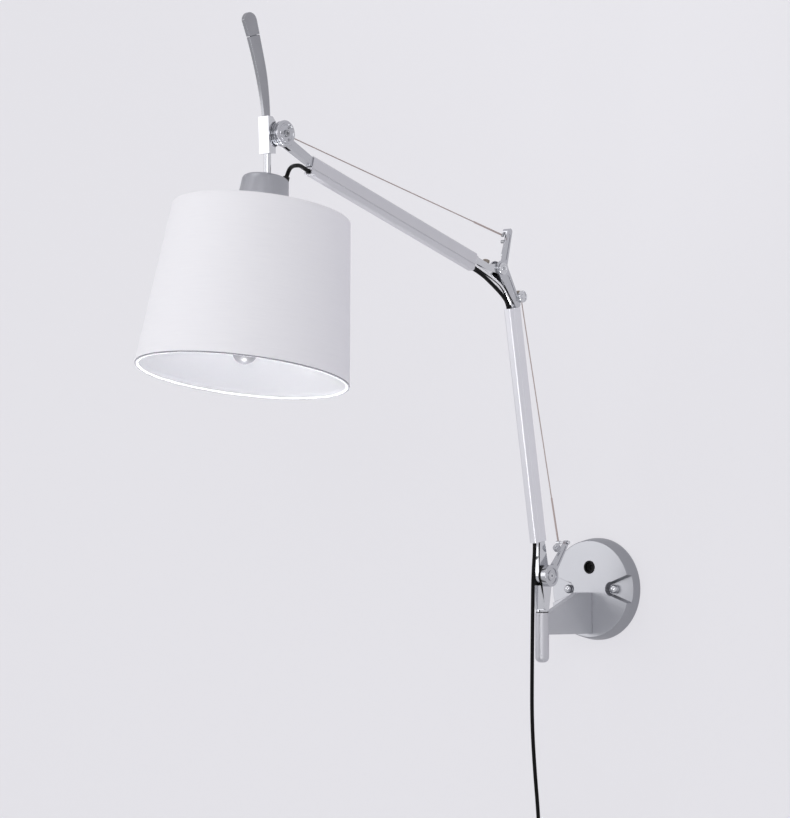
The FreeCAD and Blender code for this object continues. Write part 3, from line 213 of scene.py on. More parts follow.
@dataclass(frozen=True)
class Surface:
    """A solid surface, bare, plated, coated or moulded.

    Grain sizes are real ones, drawn coarser where they are finer than a pixel. With a lean, in degrees, the
    grain is drawn out along the piece that leans so; without one it is even.
    """

    colour: int
    roughness: float
    grain_mm: float
    lean: float | None = None
    metallic: float = 1.0
    relief_mm: float = 0.0
    rough_spread: float = 0.03
    shade_share: float = 0.06
    coat: float = 0.0
    specular: float = 0.5

    def make(self, name: str) -> bpy.types.Material:
        """Builds the material.

        Args:
            name: The finish's own name.

        Returns:
            A material whose grain follows Object coordinates, turned to the arm that it is on.
        """
        material = bpy.data.materials.new(name)
        nodes = bare_nodes(material)
        coords = nodes.out("TexCoord", out="Object")
        across = per_metre(self.grain_mm)
        along = across if self.lean is None else across / DRAWN_OUT
        turned = nodes.out("Mapping", {"Vector": coords, "Rotation": (-math.radians(self.lean or 0), 0, 0)})
        drawn = nodes.out("Mapping", {"Vector": turned, "Scale": (across, across, along)})
        grain = nodes.out("TexNoise", {"Vector": drawn, "Scale": 1.0, "Detail": 3.0}, "Fac")
        handling = nodes.out("TexNoise", {"Vector": coords, "Scale": per_metre(HANDLING_MM), "Detail": 2.0}, "Fac")
        rough = nodes.out("MapRange", {"Value": grain, "To Min": self.roughness - self.rough_spread,
                                       "To Max": self.roughness + self.rough_spread})
        base = linear(self.colour)
        dulled = tuple(c * (1 - self.shade_share) for c in base[:3]) + (1.0,)
        values = {"Base Color": nodes.tinted(handling, base, dulled), "Roughness": rough,
                  "Metallic": self.metallic, "Coat Weight": self.coat, "Specular IOR Level": self.specular}
        if self.relief_mm:
            values["Normal"] = nodes.out("Bump", {"Height": grain, "Strength": 0.5,
                                                  "Distance": self.relief_mm * MM})
        nodes.node("OutputMaterial", {"Surface": nodes.out("BsdfPrincipled", values)})
        return material


@dataclass(frozen=True)
class WovenShade:
    """Plain-woven textile laminated on a film, or the film itself, whose threads barely show."""

    thread: int = 0xF0EFF3
    slub: int = 0xEBEAEF
    relief_mm: float = 0.06
    roughness: float = 0.82
    thread_mm: float = 0.9
    slub_long_mm: float = 25
    slub_tall_mm: float = 1.3
    sheen: float = 0.15

    def make(self, name: str) -> bpy.types.Material:
        """Builds the material.

        Args:
            name: The finish's own name.

        Returns:
            A material whose threads follow the piece's UV map, which is in metres. Real threads are
            0.4 mm apart, and are drawn at about twice that so that they show.
        """
        material = bpy.data.materials.new(name)
        nodes = bare_nodes(material)
        uv = nodes.out("UVMap", uv_map="cloth")
        scaled = nodes.out("Mapping", {"Vector": uv, "Scale": (per_metre(self.thread_mm),) * 3})
        warp, weft = (nodes.out("TexWave", {"Vector": scaled, "Scale": WAVE_OF_ONE}, "Fac", bands_direction=way,
                                wave_profile="SIN") for way in "XY")
        over = nodes.out("TexChecker", {"Vector": scaled, "Scale": 1.0}, "Fac")
        height = nodes.out("Mix", {0: over, 2: warp, 3: weft}, data_type="FLOAT")
        slub_scale = (per_metre(self.slub_long_mm), per_metre(self.slub_tall_mm), 1)
        drawn = nodes.out("Mapping", {"Vector": uv, "Scale": slub_scale})
        slubs = nodes.out("TexNoise", {"Vector": drawn, "Scale": 1.0, "Detail": 2.0}, "Fac")
        relief = nodes.out("Bump", {"Height": height, "Strength": 0.35, "Distance": self.relief_mm * MM})
        shader = nodes.out("BsdfPrincipled", {
            "Base Color": nodes.tinted(slubs, linear(self.thread), linear(self.slub)),
            "Roughness": self.roughness, "Normal": relief, "Sheen Weight": self.sheen, "Specular IOR Level": 0.3})
        nodes.node("OutputMaterial", {"Surface": shader})
        return material


# Degrees that each long piece leans from upright, with its top away from the wall.
LOWER_LEAN, UPPER_LEAN, SHADE_LEAN, HANDLE_LEAN = 10.3, 73.6, -9.8, 20.0


class Finish(Enum):
    """The finishes on the lamp: each one's own name, by material and process, and its look."""

    # Nickel on blasted steel: pale, soft highlights, a faint grain across the whole disc.
    NICKEL_PLATE = ("satin_nickel_plated_steel", Surface(0xBEBFC3, 0.38, 0.9, relief_mm=0.02, rough_spread=0.05))
    # The plate's rim and the walls of its pockets: duller than its face, and darker, painted shade on the faces that
    # turn away from the room.
    RIM_PAINTED_SHADE = ("blasted_nickel_plated_steel", Surface(0xA2A3A8, 0.5, 0.9, relief_mm=0.03, rough_spread=0.05))
    # Bead-blasted casting: greyer and duller than the plate, with a fine even grit. Its colour is painted lighter,
    # painted light that lifts the shadow falling on the block.
    CAST_ALLOY_PAINTED_LIGHT = ("bead_blasted_cast_aluminium", Surface(0xBEBFC3, 0.48, 0.8, relief_mm=0.03, rough_spread=0.05))
    # Turned and blasted: like the casting, a little brighter.
    TURNED_ALLOY = ("satin_turned_aluminium", Surface(0xC8C8CC, 0.5, 0.7, relief_mm=0.015))
    # Spun and blasted cap with a soft broad sheen, darker than the casting, whose colour is painted lighter.
    SPUN_ALLOY = ("blasted_spun_aluminium", Surface(0xA9AAAF, 0.44, 0.8, relief_mm=0.02))
    # Anodised extrusions: die lines run along the arm, the sheen is soft. The lower arm's copy is painted lighter
    # than the upper's, painted light for how each arm is lit.
    LOWER_EXTRUSION_PAINTED_LIGHT = ("anodised_extruded_aluminium_lower", Surface(0xE2E2E6, 0.36, 0.7, LOWER_LEAN, relief_mm=0.012))
    UPPER_EXTRUSION = ("anodised_extruded_aluminium_upper", Surface(0xCECED2, 0.36, 0.7, UPPER_LEAN, relief_mm=0.012))
    # Chrome over polished zinc castings: a mirror with faint wipe marks.
    CHROME = ("bright_chrome_plated_zinc", Surface(0xD0D1D4, 0.10, 18.0, rough_spread=0.03))
    # Chrome over turned brass: the same mirror, a little softened by turning lines.
    DISC_CHROME = ("turned_chrome_plated_brass", Surface(0xBFC0C4, 0.18, 6.0, rough_spread=0.05))
    # The handle's chrome, dulled and streaked along its length by hands.
    HANDLE_CHROME = ("worn_chrome_plated_zinc", Surface(0xA9AAAE, 0.22, 2.4, HANDLE_LEAN, rough_spread=0.1,
                                                        shade_share=0.3))
    # Stainless spring strip, polished, softer than the chrome castings and painted brighter than them: a painted
    # highlight for the bright band at the elbow.
    STRAP_STEEL_PAINTED_HIGHLIGHT = ("polished_stainless_strip", Surface(0xEDEDEF, 0.2, 12.0))
    # Zinc on steel: grey, slightly cloudy.
    ZINC_SCREW = ("zinc_plated_steel", Surface(0x9FA0A3, 0.3, 2.5, rough_spread=0.08))
    # Nickel over turned brass, worn warm on the edges.
    WORN_NICKEL = ("worn_nickel_plated_brass", Surface(0x9A9188, 0.3, 5.0, rough_spread=0.05))
    # Injection-moulded ABS: black, fine spark-eroded texture.
    BLACK_ABS = ("moulded_black_abs", Surface(0x0B0B0C, 0.5, 0.6, metallic=0.0, relief_mm=0.03, specular=0.25))
    # Fibre washers: dead matt, near black.
    FIBRE_WASHER = ("pressed_fibre_washer", Surface(0x161514, 0.75, 0.5, metallic=0.0, relief_mm=0.02))
    # Extruded PVC sheath: black with a soft sheen along its length.
    CORD_PVC = ("extruded_black_pvc", Surface(0x050506, 0.45, 1.5, metallic=0.0, relief_mm=0.02, specular=0.1))
    # Thin wire rope: dark, warm, the strands catch small lights.
    WIRE_ROPE = ("stranded_bronze_coated_steel", Surface(0xB8AAA6, 0.4, 1.2, rough_spread=0.08))
    # Powder coat on the shade's spokes and rings: white, slight orange peel.
    POWDER_WHITE = ("white_powder_coat", Surface(0xEDEDEE, 0.45, 0.8, metallic=0.0, relief_mm=0.02))
    # Opal glass, frosted, under a faint gloss: its colour is painted dark grey, painted shade that keeps it grey
    # beside the bright lining.
    OPAL_GLASS_PAINTED_SHADE = ("blown_opal_glass", Surface(0x6C6C70, 0.4, 12.0, metallic=0.0, coat=0.2, shade_share=0.02))
    # Off-white linen: an even matt white in which single threads barely show.
    SHADE_LINEN = ("plain_woven_laminated_linen", WovenShade())
    # The film under the linen, smooth: the shade's inside. It is whiter than the threads, partly the film's own white
    # and partly painted light for the light that comes through the cloth.
    FILM_LINING_PAINTED_LIGHT = ("matt_white_film_lining", WovenShade(0xF8F8FA, 0xF6F6F9, relief_mm=0.01, roughness=0.6))
    # The lower edge's roll, folded over the ring wire: painted dark grey, painted shade that holds it down where it
    # faces straight into the light from below.
    HEM_PAINTED_SHADE = ("folded_linen_hem", WovenShade(0x74747A, 0x6A6A70))


# ---- places --------------------------------------------------------------------------------
@dataclass(frozen=True)
class Leaning:
    """Frame in the arms' plane: Z runs along an arm or up the shade's axis, Y is its rear side."""

    y: float
    z: float
    lean: float

    def point(self, rear: float, along: float, side: float = 0.0) -> Vector:
        """Turns a point of this frame, in millimetres, into the lamp's frame, in metres."""
        a = math.radians(self.lean)
        return Vector((side, self.y + rear * math.cos(a) - along * math.sin(a),
                       self.z + rear * math.sin(a) + along * math.cos(a))) * MM

    def matrix(self) -> Matrix:
        """Placement of this frame in the lamp's frame, in metres."""
        return Matrix.Translation(self.point(0, 0)) @ Matrix.Rotation(math.radians(self.lean), 4, "X")


LOWER_ARM = Leaning(-100.0, 14.0, LOWER_LEAN)
ELBOW = LOWER_ARM.point(-15.4, 322.5) / MM
UPPER_ARM = Leaning(ELBOW.y, ELBOW.z, UPPER_LEAN)
SHADE_AXIS = Leaning(-530.0, 391.0, SHADE_LEAN)


def mm(x: float, y: float, z: float) -> Vector:
    """A point given in millimetres, in metres."""
    return Vector((x, y, z)) * MM


# ---- making pieces -------------------------------------------------------------------------
SHARP_DEGREES = 32.0
FLAT_DEGREES = 0.5           # faces that turn less than this are one flat face
WELD_M = 1e-6


class Bench:
    """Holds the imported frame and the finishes, and puts finished pieces on their bodies."""

    def __init__(self) -> None:
        """Loads the frame and makes every finish once."""
        self.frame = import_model()
        self.materials = {finish: finish.value[1].make(finish.value[0]) for finish in Finish}

    def place(self, piece: bpy.types.Object, body: Body, slot: Slot, nodes: Iterable[str] = ()) -> bpy.types.Object:
        """Puts a finished piece on a body, in place of some CAD nodes.

        Args:
            piece: The piece, its place in its mesh.
            body: Body that it moves with.
            slot: Its material slot, passed on and not used.
            nodes: CAD nodes that it stands for.

        Returns:
            The same piece.
        """
        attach(piece, body.value)
        self.stand_for(piece, slot, nodes)
        return piece

    def stand_for(self, piece: bpy.types.Object, slot: Slot, nodes: Iterable[str]) -> None:
        """Hides the CAD nodes that a piece stands for, and logs it.

        Args:
            piece: The piece.
            slot: Its material slot; not used.
            nodes: CAD nodes that it stands for.
        """
        if nodes:
            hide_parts(*nodes)
        LOG.info("%s: %d faces", piece.name, len(piece.data.polygons))

    def paint(self, node: str, finish: Finish) -> None:
        """Gives a CAD node that stays as it is its finish.

        Args:
            node: The CAD node.
            finish: Its finish.
        """
        mesh = self.frame["nodes"][node].data
        mesh.materials.clear()
        mesh.materials.append(self.materials[finish])

    def new_piece(self, name: str, mesh: bpy.types.Mesh, finish: Finish) -> bpy.types.Object:
        """Makes an object of a mesh, in one finish.

        Args:
            name: Name of the piece.
            mesh: Its mesh, with its place in its points.
            finish: Its finish.

        Returns:
            The object, at the origin.
        """
        mesh.materials.clear()
        mesh.materials.append(self.materials[finish])
        piece = bpy.data.objects.new(name, mesh)
        bpy.context.scene.collection.objects.link(piece)
        return piece

    def eased(self, node: str, body: Body, slot: Slot, finish: Finish, edge_mm: float) -> bpy.types.Object:
        """Copies a CAD node and breaks its sharp edges, as tumbling and polishing do.

        Args:
            node: CAD node to copy.
            body: Body that it moves with.
            slot: Material slot.
            finish: Its finish.
            edge_mm: Width of the broken edge.

        Returns:
            The piece that stands for the node.
        """
        mesh = self.frame["nodes"][node].data.copy()
        shape = bmesh.new()
        shape.from_mesh(mesh)
        bmesh.ops.remove_doubles(shape, verts=shape.verts, dist=WELD_M)
        bmesh.ops.dissolve_limit(shape, angle_limit=math.radians(FLAT_DEGREES), verts=shape.verts, edges=shape.edges)
        shape.to_mesh(mesh)
        shape.free()
        for name in [a.name for a in mesh.attributes if a.name.startswith("custom_normal")]:
            mesh.attributes.remove(mesh.attributes[name])
        mesh.shade_smooth()
        mesh.set_sharp_from_angle(angle=math.radians(SHARP_DEGREES))
        piece = self.new_piece(f"{node}_eased", mesh, finish)
        if edge_mm:
            bevel = piece.modifiers.new("broken_edge", "BEVEL")
            bevel.width = edge_mm * MM
            bevel.segments = 2
            bevel.limit_method = "ANGLE"
            bevel.angle_limit = math.radians(SHARP_DEGREES)
            bevel.harden_normals = True
        return self.place(piece, body, slot, [node])


def mesh_of(name: str, verts: Sequence[Vector], faces: Sequence[Sequence[int]]) -> bpy.types.Mesh:
    """Makes a smooth-shaded mesh with its faces pointing outwards.

    Args:
        name: Name of the mesh.
        verts: Its points, in metres.
        faces: Each face's points, by number.

    Returns:
        The mesh.
    """
    mesh = bpy.data.meshes.new(name)
    mesh.from_pydata([tuple(v) for v in verts], [], faces)
    shape = bmesh.new()
    shape.from_mesh(mesh)
    bmesh.ops.recalc_face_normals(shape, faces=shape.faces)
    shape.to_mesh(mesh)
    shape.free()
    mesh.shade_smooth()
    return mesh


def lathe(name: str, profile: Sequence[Pair], place: Matrix, around: int = 96,
          closed: bool = False) -> bpy.types.Mesh:
    """Turns a profile about Z.

    Args:
        name: Name of the mesh.
        profile: (radius, height) pairs in millimetres, from pole to pole or a closed loop.
        place: Frame to put it in.
        around: Number of faces around.
        closed: Whether the profile's end joins its start, instead of meeting the axis.

    Returns:
        A closed mesh with its place in its points.
    """
    verts, rings = [], []
    for r, height in profile:
        if r < WELD_M:
            rings.append([len(verts)])
            verts.append(place @ mm(0, 0, height))
            continue
        rings.append(list(range(len(verts), len(verts) + around)))
        for k in range(around):
            a = math.tau * k / around
            verts.append(place @ mm(r * math.cos(a), r * math.sin(a), height))
    faces = []
    for low, high in zip(rings, rings[1:] + (rings[:1] if closed else [])):
        for k in range(around):
            n = (k + 1) % around
            corners = [low[k % len(low)], low[n % len(low)], high[n % len(high)], high[k % len(high)]]
            faces.append(list(dict.fromkeys(corners)))
    return mesh_of(name, verts, faces)


CORD_STEPS, STRAP_STEPS = 8, 12         # points read for each control point of a route


def smooth_line(points: Sequence[Vector], steps: int) -> list[Vector]:
    """Reads the smooth line of a route.

    Args:
        points: The route's points, which are the control points of a NURBS spline of order 3.
        steps: Points read for each control point.

    Returns:
        Points of the line, close together.
    """
    curve = bpy.data.curves.new("route", "CURVE")
    curve.dimensions = "3D"
    spline = curve.splines.new("NURBS")
    spline.points.add(len(points) - 1)
    for target, p in zip(spline.points, points):
        target.co = (*p, 1.0)
    spline.order_u = 3
    spline.use_endpoint_u = True
    spline.resolution_u = steps
    holder = bpy.data.objects.new("route", curve)
    mesh = bpy.data.meshes.new_from_object(holder)
    line = [v.co.copy() for v in mesh.vertices]
    bpy.data.meshes.remove(mesh)
    bpy.data.objects.remove(holder)
    bpy.data.curves.remove(curve)
    return line


def tube_mesh(name: str, line: Sequence[Vector], r: float, sides: int = 16, flat: float = 1.0
              ) -> bpy.types.Mesh:
    """Sweeps a round or flattened section along a line, with no twist and with closed ends.

    Args:
        name: Name of the mesh.
        line: Points to follow.
        r: Section's radius, or half its width.
        sides: Number of faces around.
        flat: Thickness over width.

    Returns:
        A closed mesh.
    """
    headings = [(b - a).normalized() for a, b in zip(line, line[1:])]
    tangents = [headings[0]] + [(a + b).normalized() for a, b in zip(headings, headings[1:])] + [headings[-1]]
    first = Vector((1, 0, 0))
    verts, faces = [], []
    for at, tangent in zip(line, tangents):
        first = (first - tangent * first.dot(tangent)).normalized()
        second = tangent.cross(first)
        for k in range(sides):
            a = math.tau * k / sides
            verts.append(at + first * (r * math.cos(a)) + second * (r * flat * math.sin(a)))
    for ring in range(len(line) - 1):
        for k in range(sides):
            n, base = (k + 1) % sides, ring * sides
            faces.append([base + k, base + n, base + sides + n, base + sides + k])
    faces.append(list(range(sides)))
    faces.append(list(range(len(verts) - sides, len(verts))))
    return mesh_of(name, verts, faces)


# ---- geometry node trees -------------------------------------------------------------------
class Growth(Nodes):
    """A geometry node tree with named inputs, and the plain meshes that it makes."""

    def __init__(self, name: str, **inputs: str) -> None:
        """Makes the tree with its inputs.

        Args:
            name: Name of the tree.
            **inputs: Each input's name, to its socket type without its family.
        """
        super().__init__(bpy.data.node_groups.new(name, "GeometryNodeTree"), "GeometryNode")
        for label, kind in {**inputs, "Material": "Material"}.items():
            self.tree.interface.new_socket(label, in_out="INPUT", socket_type=f"NodeSocket{kind}")
        self.tree.interface.new_socket("Geometry", in_out="OUTPUT", socket_type="NodeSocketGeometry")
        self.given = self.node("NodeGroupInput", family="").outputs

    def finish(self, geometry: bpy.types.NodeSocket) -> "Growth":
        """Ends the tree: real geometry in its material.

        Args:
            geometry: What the tree has made.

        Returns:
            The whole tree.
        """
        real = self.out("RealizeInstances", {0: geometry})
        dressed = self.out("SetMaterial", {"Geometry": real, "Material": self.given["Material"]})
        self.node("NodeGroupOutput", {"Geometry": dressed}, family="")
        return self

    def grow(self, name: str, material: bpy.types.Material, **inputs: object) -> bpy.types.Object:
        """Runs the tree and keeps its result as a plain mesh.

        Args:
            name: Name of the piece.
            material: Its finish.
            **inputs: Values of the tree's inputs, by name.

        Returns:
            An object with a plain mesh and no modifier.
        """
        piece = bpy.data.objects.new(name, bpy.data.meshes.new(name))
        bpy.context.scene.collection.objects.link(piece)
        modifier = piece.modifiers.new("growth", "NODES")
        modifier.node_group = self.tree
        sockets = {i.name: i.identifier for i in self.tree.interface.items_tree if i.in_out == "INPUT"}
        for label, value in {**inputs, "Material": material}.items():
            modifier[sockets[label]] = value
        bpy.context.view_layer.update()
        mesh = bpy.data.meshes.new_from_object(piece.evaluated_get(bpy.context.evaluated_depsgraph_get()))
        piece.modifiers.clear()
        piece.data = mesh
        mesh.shade_smooth()
        mesh.set_sharp_from_angle(angle=math.radians(SHARP_DEGREES))
        return piece


def ball_cap_growth() -> Growth:
    """Polished balls in a level row, each cut flat where it meets the plate, one over each screw.

    Returns:
        The tree, with the ball's radius, how far above the cut its centre is, and the row as inputs.
    """
    growth = Growth("ball_caps", Radius="Float", Lift="Float", First="Vector", Step="Vector")
    given = growth.given
    ball = growth.out("MeshUVSphere", {"Segments": 40, "Rings": 28, "Radius": given["Radius"]}, "Mesh")
    split = growth.node("SeparateXYZ", {0: growth.out("InputPosition")}, family="ShaderNode").outputs
    high = growth.maths("MAXIMUM", split["Z"], growth.maths("MULTIPLY", given["Lift"], -1.0))
    place = growth.out("CombineXYZ", {0: split["X"], 1: split["Y"], 2: high}, family="ShaderNode")
    cut = growth.out("SetPosition", {"Geometry": ball, "Position": place})
    row = growth.out("MeshLine", {"Count": 2, "Start Location": given["First"], "Offset": given["Step"]})
    return growth.finish(growth.out("InstanceOnPoints", {"Points": row, "Instance": cut,
                                                         "Rotation": (math.radians(90), 0, 0)}))


def rope_growth() -> Growth:
    """Wire rope between two points: a lobed section, a lobe for each strand, that twists once in each lay.

    Returns:
        The tree, with the wire's ends, radius, lay and number of steps as inputs.
    """
    growth = Growth("wire_rope", Start="Vector", End="Vector", Radius="Float", Lay="Float", Count="Int")
    given, strands, around, lobe_share = growth.given, 6, 24, 0.12
    line = growth.out("CurvePrimitiveLine", {"Start": given["Start"], "End": given["End"]})
    fine = growth.out("ResampleCurve", {"Curve": line, "Count": given["Count"]})
    turns = growth.maths("DIVIDE", growth.out("SplineParameter", out="Length"), given["Lay"])
    twisted = growth.out("SetCurveTilt", {"Curve": fine, "Tilt": growth.maths("MULTIPLY", turns, math.tau)})
    ring = growth.out("CurvePrimitiveCircle", {"Resolution": around, "Radius": given["Radius"]})
    angle = growth.maths("MULTIPLY", growth.out("InputIndex"), math.tau * strands / around)
    wave = growth.maths("MULTIPLY", growth.maths("COSINE", angle), lobe_share)
    drawn = growth.out("VectorMath", {0: growth.out("InputPosition"),
                                      "Scale": growth.maths("ADD", wave, 1 - lobe_share)},
                       family="ShaderNode", operation="SCALE")
    section = growth.out("SetPosition", {"Geometry": ring, "Position": drawn})
    return growth.finish(growth.out("CurveToMesh", {"Curve": twisted, "Profile Curve": section,
                                                    "Fill Caps": True}))


def knurl_growth() -> Growth:
    """Knurled knob about an axis: a short cylinder with ribs standing round its edge.

    Returns:
        The tree, with the knob's radius, height, number of ribs, place and tilt as inputs.
    """
    growth = Growth("knurled_knob", Radius="Float", Height="Float", Ribs="Int", Place="Vector", Tilt="Vector")
    given, rib_wide, rib_high = growth.given, 0.09, 0.86
    core = growth.out("MeshCylinder", {"Vertices": 48, "Side Segments": 1, "Radius": given["Radius"],
                                       "Depth": given["Height"]}, "Mesh")
    rib = growth.out("MeshCylinder", {"Vertices": 8, "Side Segments": 1,
                                      "Radius": growth.maths("MULTIPLY", given["Radius"], rib_wide),
                                      "Depth": growth.maths("MULTIPLY", given["Height"], rib_high)}, "Mesh")
    ring = growth.out("MeshCircle", {"Vertices": given["Ribs"], "Radius": given["Radius"]})
    whole = growth.node("JoinGeometry")
    for part in (growth.out("InstanceOnPoints", {"Points": ring, "Instance": rib}), core):
        growth.tree.links.new(part, whole.inputs[0])
    return growth.finish(growth.out("Transform", {"Geometry": whole.outputs[0], "Translation": given["Place"],
                                                  "Rotation": given["Tilt"]}))


# ---- sub-assemblies ------------------------------------------------------------------------
@dataclass(frozen=True)
class EasedPart:
    """A CAD piece whose shape stays, with its edges broken by edge_mm."""

    node: str
    body: Body
    slot: Slot
    finish: Finish
    edge_mm: float


def eased_on(body: Body, slot: Slot, finish: Finish, **edges_mm: float) -> tuple[EasedPart, ...]:
    """Lists pieces on one body with one finish, each node with the width of its broken edges."""
    return tuple(EasedPart(node, body, slot, finish, edge) for node, edge in edges_mm.items())


Parts = tuple[EasedPart, ...]
Painted = tuple[tuple[str, Finish], ...]


@dataclass
class SubAssembly:
    """A group of pieces that is built together on the bench. Its sizes are in millimetres."""

    bench: Bench
    parts: Parts = ()
    painted: Painted = ()

    def build(self) -> None:
        """Makes the sub-assembly's eased parts and paints the nodes that stay."""
        for part in self.parts:
            self.bench.eased(part.node, part.body, part.slot, part.finish, part.edge_mm)
        for node, finish in self.painted:
            self.bench.paint(node, finish)


@dataclass(frozen=True)
class Knob:
    """A knurled hand screw's or nut's size, in millimetres."""

    r: float
    high: float
    ribs: int

    def make(self, name: str, material: bpy.types.Material, foot: Vector, axis: Vector) -> bpy.types.Object:
        """Makes the knob, standing on its foot along an axis."""
        tilt = Vector(axis.to_track_quat("Z", "Y").to_euler())
        return knurl_growth().grow(name, material, Radius=self.r * MM, Height=self.high * MM, Ribs=self.ribs,
                                   Place=foot + axis * (self.high / 2 * MM), Tilt=tilt)


@dataclass
class WallMount(SubAssembly):
    """Round plate, bracket block and socket, with the ball caps over the wall screws."""

    # faces that turn away from the room, the rim and the pockets' walls, get painted shade
    facing: float = -0.9            # a face whose normal has a Y over this is rim or a pocket's wall
    plate_edge: float = 0.35
    ball_r: float = 4.7
    ball_lift: float = 2.3          # a ball's centre over the pocket's floor
    pocket_floor: float = 11.0
    screw_spacing: float = 60.0
    parts: Parts = (
        *eased_on(Body.WALL, Slot.SATIN, Finish.CAST_ALLOY_PAINTED_LIGHT, bracket_block=0.6),
        *eased_on(Body.WALL, Slot.SATIN, Finish.TURNED_ALLOY, socket_sleeve=0.3),
        *eased_on(Body.WALL, Slot.PLASTIC, Finish.BLACK_ABS, cable_grommet=0.3),
        *eased_on(Body.WALL, Slot.SCREW, Finish.ZINC_SCREW, wall_screws=0.2),
    )
    painted: Painted = (("bracket_screws", Finish.ZINC_SCREW), ("socket_bush", Finish.BLACK_ABS))

    def build(self) -> None:
        """Makes the eased parts, then the plate with painted shade on its rim and pocket walls, and the balls."""
        super().build()
        plate = self.bench.eased("wall_plate", Body.WALL, Slot.PLATE, Finish.NICKEL_PLATE, self.plate_edge)
        plate.data.materials.append(self.bench.materials[Finish.RIM_PAINTED_SHADE])
        # The rim and the pockets' walls take the darker copy of the nickel: painted shade.
        for face in plate.data.polygons:
            face.material_index = int(face.normal.y > self.facing)
        step = self.screw_spacing
        balls = ball_cap_growth().grow(
            "ball_caps", self.bench.materials[Finish.CHROME], Radius=self.ball_r * MM, Lift=self.ball_lift * MM,
            First=mm(-step / 2, -self.pocket_floor - self.ball_lift, 0), Step=mm(step, 0, 0))
        self.bench.place(balls, Body.WALL, Slot.CAP, ["screw_caps"])


@dataclass
class Stem(SubAssembly):
    """Fork that turns in the socket, with the shoulder pin and the lower wire's lever."""

    nut_at: Point = (10.2, -80.7, 37.4)
    nut_axis: Point = (0.0, -0.78, 0.626)
    nut_from: float = 6.6           # from that point, along the axis, to the nut's foot
    nut: Knob = Knob(r=3.75, high=4.6, ribs=26)
    parts: Parts = (
        *eased_on(Body.STEM, Slot.CHROME, Finish.CHROME, stem_fork=0.4, shoulder_pin=0.3, lever_pins=0.2),
        *eased_on(Body.STEM, Slot.PLASTIC, Finish.FIBRE_WASHER, shoulder_washers=0.1),
        *eased_on(Body.STEM, Slot.CHROME, Finish.DISC_CHROME, anchor_lever=0.4),
    )

    def build(self) -> None:
        """Makes the eased parts, then the knurled nut."""
        super().build()
        axis = Vector(self.nut_axis).normalized()
        nut = self.nut.make("tension_nut", self.bench.materials[Finish.DISC_CHROME],
                            mm(*self.nut_at) + axis * (self.nut_from * MM), axis)
        self.bench.place(nut, Body.TENSION_NUT, Slot.CHROME, ["lower_tension_nut"])


@dataclass
class Arms(SubAssembly):
    """Both tubes with their tongues, the elbow casting and what turns on it."""

    friction_at: Pair = (-3.9, 21.5)            # rear and along, in the upper arm's frame
    friction_head: float = 2.4                  # rear of that, the knob's foot
    friction_shank: Pair = (-3.0, 5.6)          # rear of that, the shank's two ends
    shank_r: float = 1.2
    shank_around: int = 20
    friction_knob: Knob = Knob(r=3.2, high=3.2, ribs=22)
    parts: Parts = (
        *eased_on(Body.LOWER, Slot.ARM, Finish.LOWER_EXTRUSION_PAINTED_LIGHT, lower_tube=0.15),
        *eased_on(Body.LOWER, Slot.CHROME, Finish.CHROME, lower_tongue=0.4, elbow_pins=0.3),
        *eased_on(Body.LOWER, Slot.SCREW, Finish.ZINC_SCREW, lower_stop_screw=0.3, upper_wire_anchor=0.2),
        *eased_on(Body.LOWER, Slot.CHROME, Finish.DISC_CHROME, elbow_bracket=0.4),
        *eased_on(Body.ELBOW_WHEEL, Slot.BRASS, Finish.WORN_NICKEL, elbow_pulley=0.15),
        *eased_on(Body.UPPER, Slot.ARM, Finish.UPPER_EXTRUSION, upper_tube=0.15),
        *eased_on(Body.UPPER, Slot.CHROME, Finish.CHROME, upper_tongue=0.4, wrist_pin=0.2),
        *eased_on(Body.UPPER, Slot.CHROME, Finish.DISC_CHROME, wrist_link=0.5, wrist_disc=0.3),
        *eased_on(Body.WRIST_WHEEL, Slot.BRASS, Finish.WORN_NICKEL, wrist_pulley=0.1),
        *eased_on(Body.UPPER, Slot.SCREW, Finish.ZINC_SCREW, wrist_disc_screws=0.15),
    )
    painted: Painted = (("lower_spring", Finish.ZINC_SCREW), ("upper_spring", Finish.ZINC_SCREW))

    def build(self) -> None:
        """Makes the eased parts, then the knurled friction screw."""
        super().build()
        rear, along = self.friction_at
        low, high = self.friction_shank
        axis = (UPPER_ARM.point(1, 0) - UPPER_ARM.point(0, 0)).normalized()
        screw = self.friction_knob.make("friction_screw", self.bench.materials[Finish.WORN_NICKEL],
                                        UPPER_ARM.point(rear + self.friction_head, along), axis)
        ends = [UPPER_ARM.point(rear + low, along), UPPER_ARM.point(rear + high, along)]
        shank = tube_mesh("friction_shank", ends, self.shank_r * MM, self.shank_around)
        whole = bmesh.new()
        for part in (screw.data, shank):
            whole.from_mesh(part)
        whole.to_mesh(screw.data)
        whole.free()
        self.bench.place(screw, Body.FRICTION_SCREW, Slot.CHROME, ["elbow_friction_screw"])


